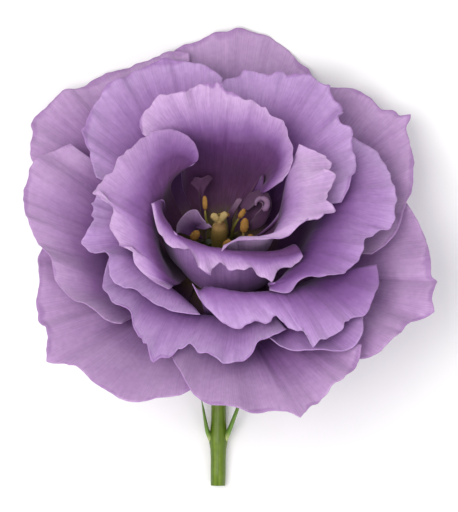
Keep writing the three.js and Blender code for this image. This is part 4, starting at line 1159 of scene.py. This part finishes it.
def make_stage(settings):
    r = Recipe("floor_surface")
    place = r.add("ShaderNodeTexCoord").outputs["Object"]
    noise = r.add("ShaderNodeTexNoise", {"Vector": place, "Scale": 40.0})
    tone = r.ramp(noise.outputs["Fac"],
                  [(0.3, (0.90, 0.90, 0.905, 1)), (0.7, (0.93, 0.93, 0.935, 1))])
    corners = [(x * FLOOR_HALF, y * FLOOR_HALF, 0) for x, y in ((-1, -1), (1, -1), (1, 1), (-1, 1))]
    floor = new_object("floor", corners, [(0, 1, 2, 3)],
                       r.close(Base_Color=tone, Roughness=0.9))
    world = bpy.data.worlds.new("soft_room")
    world.use_nodes = True
    background = world.node_tree.nodes["Background"]
    background.inputs["Color"].default_value = (1.0, 1.0, 1.0, 1.0)
    background.inputs["Strength"].default_value = settings.room_light
    bpy.context.scene.world = world
    area_light("key_light", (-0.32, 0.0, 0.9), 0.6, settings.key_light, (1.0, 0.98, 0.96))
    area_light("fill_light", (0.35, -0.6, 0.7), 0.6, settings.key_light * FILL_SHARE, (0.96, 0.97, 1.0))
    camera_data = bpy.data.cameras.new("camera")
    camera_data.sensor_width = SENSOR
    camera_data.lens = SENSOR * CAMERA_HEIGHT / VIEW_HEIGHT
    camera_data.clip_end = 20.0
    camera = bpy.data.objects.new("camera", camera_data)
    camera.location = (VIEW_CENTRE[0], VIEW_CENTRE[1], CAMERA_HEIGHT)
    bpy.context.scene.collection.objects.link(camera)
    bpy.context.scene.camera = camera
    bpy.context.scene.view_settings.view_transform = "Standard"


# ---- add-on ---------------------------------------------------------------------------------
def colour_property(name, description, default):
    return bpy.props.FloatVectorProperty(name=name, description=description, size=4, min=0.0,
                                         max=1.0, subtype="COLOR", default=default)


class LISIANTHUS_PG_settings(bpy.types.PropertyGroup):
    blade: bpy.props.FloatProperty(
        name="Foot thickness", description="Thickness of a petal at its foot",
        default=0.46 * MM, min=0.2 * MM, max=0.8 * MM, unit="LENGTH", precision=5)
    rim_edge: bpy.props.FloatProperty(
        name="Rim thickness", description="Thickness of a petal at its rim",
        default=0.18 * MM, min=0.1 * MM, max=0.8 * MM, unit="LENGTH", precision=5)
    frill: bpy.props.FloatProperty(
        name="Frill", description="How strongly the rims are notched and ruffled",
        default=1.0, min=0.0, max=1.5, subtype="FACTOR")
    pleats: bpy.props.FloatProperty(
        name="Pleats", description="Depth of the fine folds that run out along a petal",
        default=1.0, min=0.0, max=2.0, subtype="FACTOR")
    pollen: bpy.props.FloatProperty(
        name="Pollen", description="Pollen grains on a square millimetre of anther",
        default=5.0, min=0.0, max=12.0)
    seed: bpy.props.IntProperty(
        name="Seed", description="Number that fixes every random choice", default=7, min=0)
    foot_colour: colour_property(
        "Petal foot", "Colour of a petal at its very foot", srgb(112, 106, 34))
    # The throat, deep and middle colours are partly the petals' own dark eye and partly painted shade
    # of the cup and the gaps between petals.
    throat_colour: colour_property(
        "Petal throat", "Colour of a petal just above its foot", srgb(84, 50, 76))
    deep_colour: colour_property(
        "Petal deep", "Colour of the dark lower part of a petal", srgb(98, 58, 116))
    middle_colour: colour_property(
        "Petal middle", "Colour where the dark part fades out", srgb(134, 92, 152))
    petal_colour: colour_property(
        "Petal body", "Colour of a petal's open part", srgb(170, 132, 186))
    # The edge colour is partly the paler margin and partly a painted highlight.
    edge_colour: colour_property(
        "Petal edge", "Colour of a petal just inside its rim", srgb(192, 160, 206))
    vein_colour: colour_property(
        "Petal veins", "Colour of the fine veins", srgb(118, 78, 138))
    ovary_colour: colour_property(
        "Ovary", "Colour of the ovary half way up", srgb(168, 136, 84))
    stigma_colour: colour_property(
        "Stigma", "Colour of the two stigma lobes", srgb(174, 150, 98))
    anther_colour: colour_property(
        "Anthers", "Colour of the anthers and their pollen", srgb(172, 126, 62))
    stem_colour: colour_property(
        "Stem", "Colour of the stem's lit side", srgb(92, 118, 28))
    key_light: bpy.props.FloatProperty(
        name="Key light", description="Power of the main soft light", default=6.2, min=0.0,
        unit="POWER")
    room_light: bpy.props.FloatProperty(
        name="Room light", description="Brightness of the light from all round", default=0.68,
        min=0.0)


class LISIANTHUS_OT_outer_petals(bpy.types.Operator):
    """Build the seven outer petals"""
    bl_idname = "lisianthus.outer_petals"
    bl_label = "Outer petals"
    bl_options = {"REGISTER", "UNDO"}

    def execute(self, context):
        settings = context.scene.lisianthus
        for petal in OUTER_PETALS:
            make_petal(petal, "outer_petal", settings)
        return {"FINISHED"}


class LISIANTHUS_OT_middle_petals(bpy.types.Operator):
    """Build the seven middle petals"""
    bl_idname = "lisianthus.middle_petals"
    bl_label = "Middle petals"
    bl_options = {"REGISTER", "UNDO"}

    def execute(self, context):
        settings = context.scene.lisianthus
        for petal in MIDDLE_PETALS:
            make_petal(petal, "middle_petal", settings)
        return {"FINISHED"}


class LISIANTHUS_OT_inner_petals(bpy.types.Operator):
    """Build the four petals of the cup"""
    bl_idname = "lisianthus.inner_petals"
    bl_label = "Inner petals"
    bl_options = {"REGISTER", "UNDO"}

    def execute(self, context):
        settings = context.scene.lisianthus
        for petal in INNER_PETALS:
            make_petal(petal, "inner_petal", settings)
        return {"FINISHED"}


class LISIANTHUS_OT_petaloids(bpy.types.Operator):
    """Build the four small petals in the throat"""
    bl_idname = "lisianthus.petaloids"
    bl_label = "Petaloids"
    bl_options = {"REGISTER", "UNDO"}

    def execute(self, context):
        settings = context.scene.lisianthus
        for petal in PETALOIDS:
            make_petal(petal, "petaloid", settings, 4.0, 36)
        make_hood_curl(settings)
        return {"FINISHED"}


class LISIANTHUS_OT_pistil(bpy.types.Operator):
    """Build the ovary with its style and the two stigma lobes"""
    bl_idname = "lisianthus.pistil"
    bl_label = "Pistil"
    bl_options = {"REGISTER", "UNDO"}

    def execute(self, context):
        make_pistil(context.scene.lisianthus)
        return {"FINISHED"}


class LISIANTHUS_OT_stamens(bpy.types.Operator):
    """Build the filaments, the anthers and their pollen"""
    bl_idname = "lisianthus.stamens"
    bl_label = "Stamens"
    bl_options = {"REGISTER", "UNDO"}

    def execute(self, context):
        make_stamens(context.scene.lisianthus)
        return {"FINISHED"}


class LISIANTHUS_OT_stem(bpy.types.Operator):
    """Build the stem with the receptacle and the two bracts"""
    bl_idname = "lisianthus.stem"
    bl_label = "Stem"
    bl_options = {"REGISTER", "UNDO"}

    def execute(self, context):
        make_stem(context.scene.lisianthus)
        return {"FINISHED"}


class LISIANTHUS_OT_sepals(bpy.types.Operator):
    """Build the ring of five sepals"""
    bl_idname = "lisianthus.sepals"
    bl_label = "Sepals"
    bl_options = {"REGISTER", "UNDO"}

    def execute(self, context):
        make_sepals()
        return {"FINISHED"}


class LISIANTHUS_OT_stage(bpy.types.Operator):
    """Build the floor, the lights and the camera"""
    bl_idname = "lisianthus.stage"
    bl_label = "Stage"
    bl_options = {"REGISTER", "UNDO"}

    def execute(self, context):
        make_stage(context.scene.lisianthus)
        return {"FINISHED"}


OPERATORS = (
    LISIANTHUS_OT_outer_petals, LISIANTHUS_OT_middle_petals, LISIANTHUS_OT_inner_petals,
    LISIANTHUS_OT_petaloids, LISIANTHUS_OT_pistil, LISIANTHUS_OT_stamens, LISIANTHUS_OT_stem,
    LISIANTHUS_OT_sepals, LISIANTHUS_OT_stage,
)


class LISIANTHUS_PT_panel(bpy.types.Panel):
    """Sizes and colours of the bloom and the steps that build it"""
    bl_idname = "LISIANTHUS_PT_panel"
    bl_label = "Lisianthus"
    bl_space_type = "VIEW_3D"
    bl_region_type = "UI"
    bl_category = "Lisianthus"

    def draw(self, context):
        settings = context.scene.lisianthus
        for name in LISIANTHUS_PG_settings.__annotations__:
            self.layout.prop(settings, name)
        for operator in OPERATORS:
            self.layout.operator(operator.bl_idname)


CLASSES = (LISIANTHUS_PG_settings, *OPERATORS, LISIANTHUS_PT_panel)


def register():
    for cls in CLASSES:
        bpy.utils.register_class(cls)
    bpy.types.Scene.lisianthus = bpy.props.PointerProperty(type=LISIANTHUS_PG_settings)


def unregister():
    del bpy.types.Scene.lisianthus
    for cls in reversed(CLASSES):
        bpy.utils.unregister_class(cls)


def main():
    register()
    bpy.ops.lisianthus.outer_petals()
    bpy.ops.lisianthus.middle_petals()
    bpy.ops.lisianthus.inner_petals()
    bpy.ops.lisianthus.petaloids()
    bpy.ops.lisianthus.pistil()
    bpy.ops.lisianthus.stamens()
    bpy.ops.lisianthus.stem()
    bpy.ops.lisianthus.sepals()
    bpy.ops.lisianthus.stage()


if __name__ == "__main__":
    main()
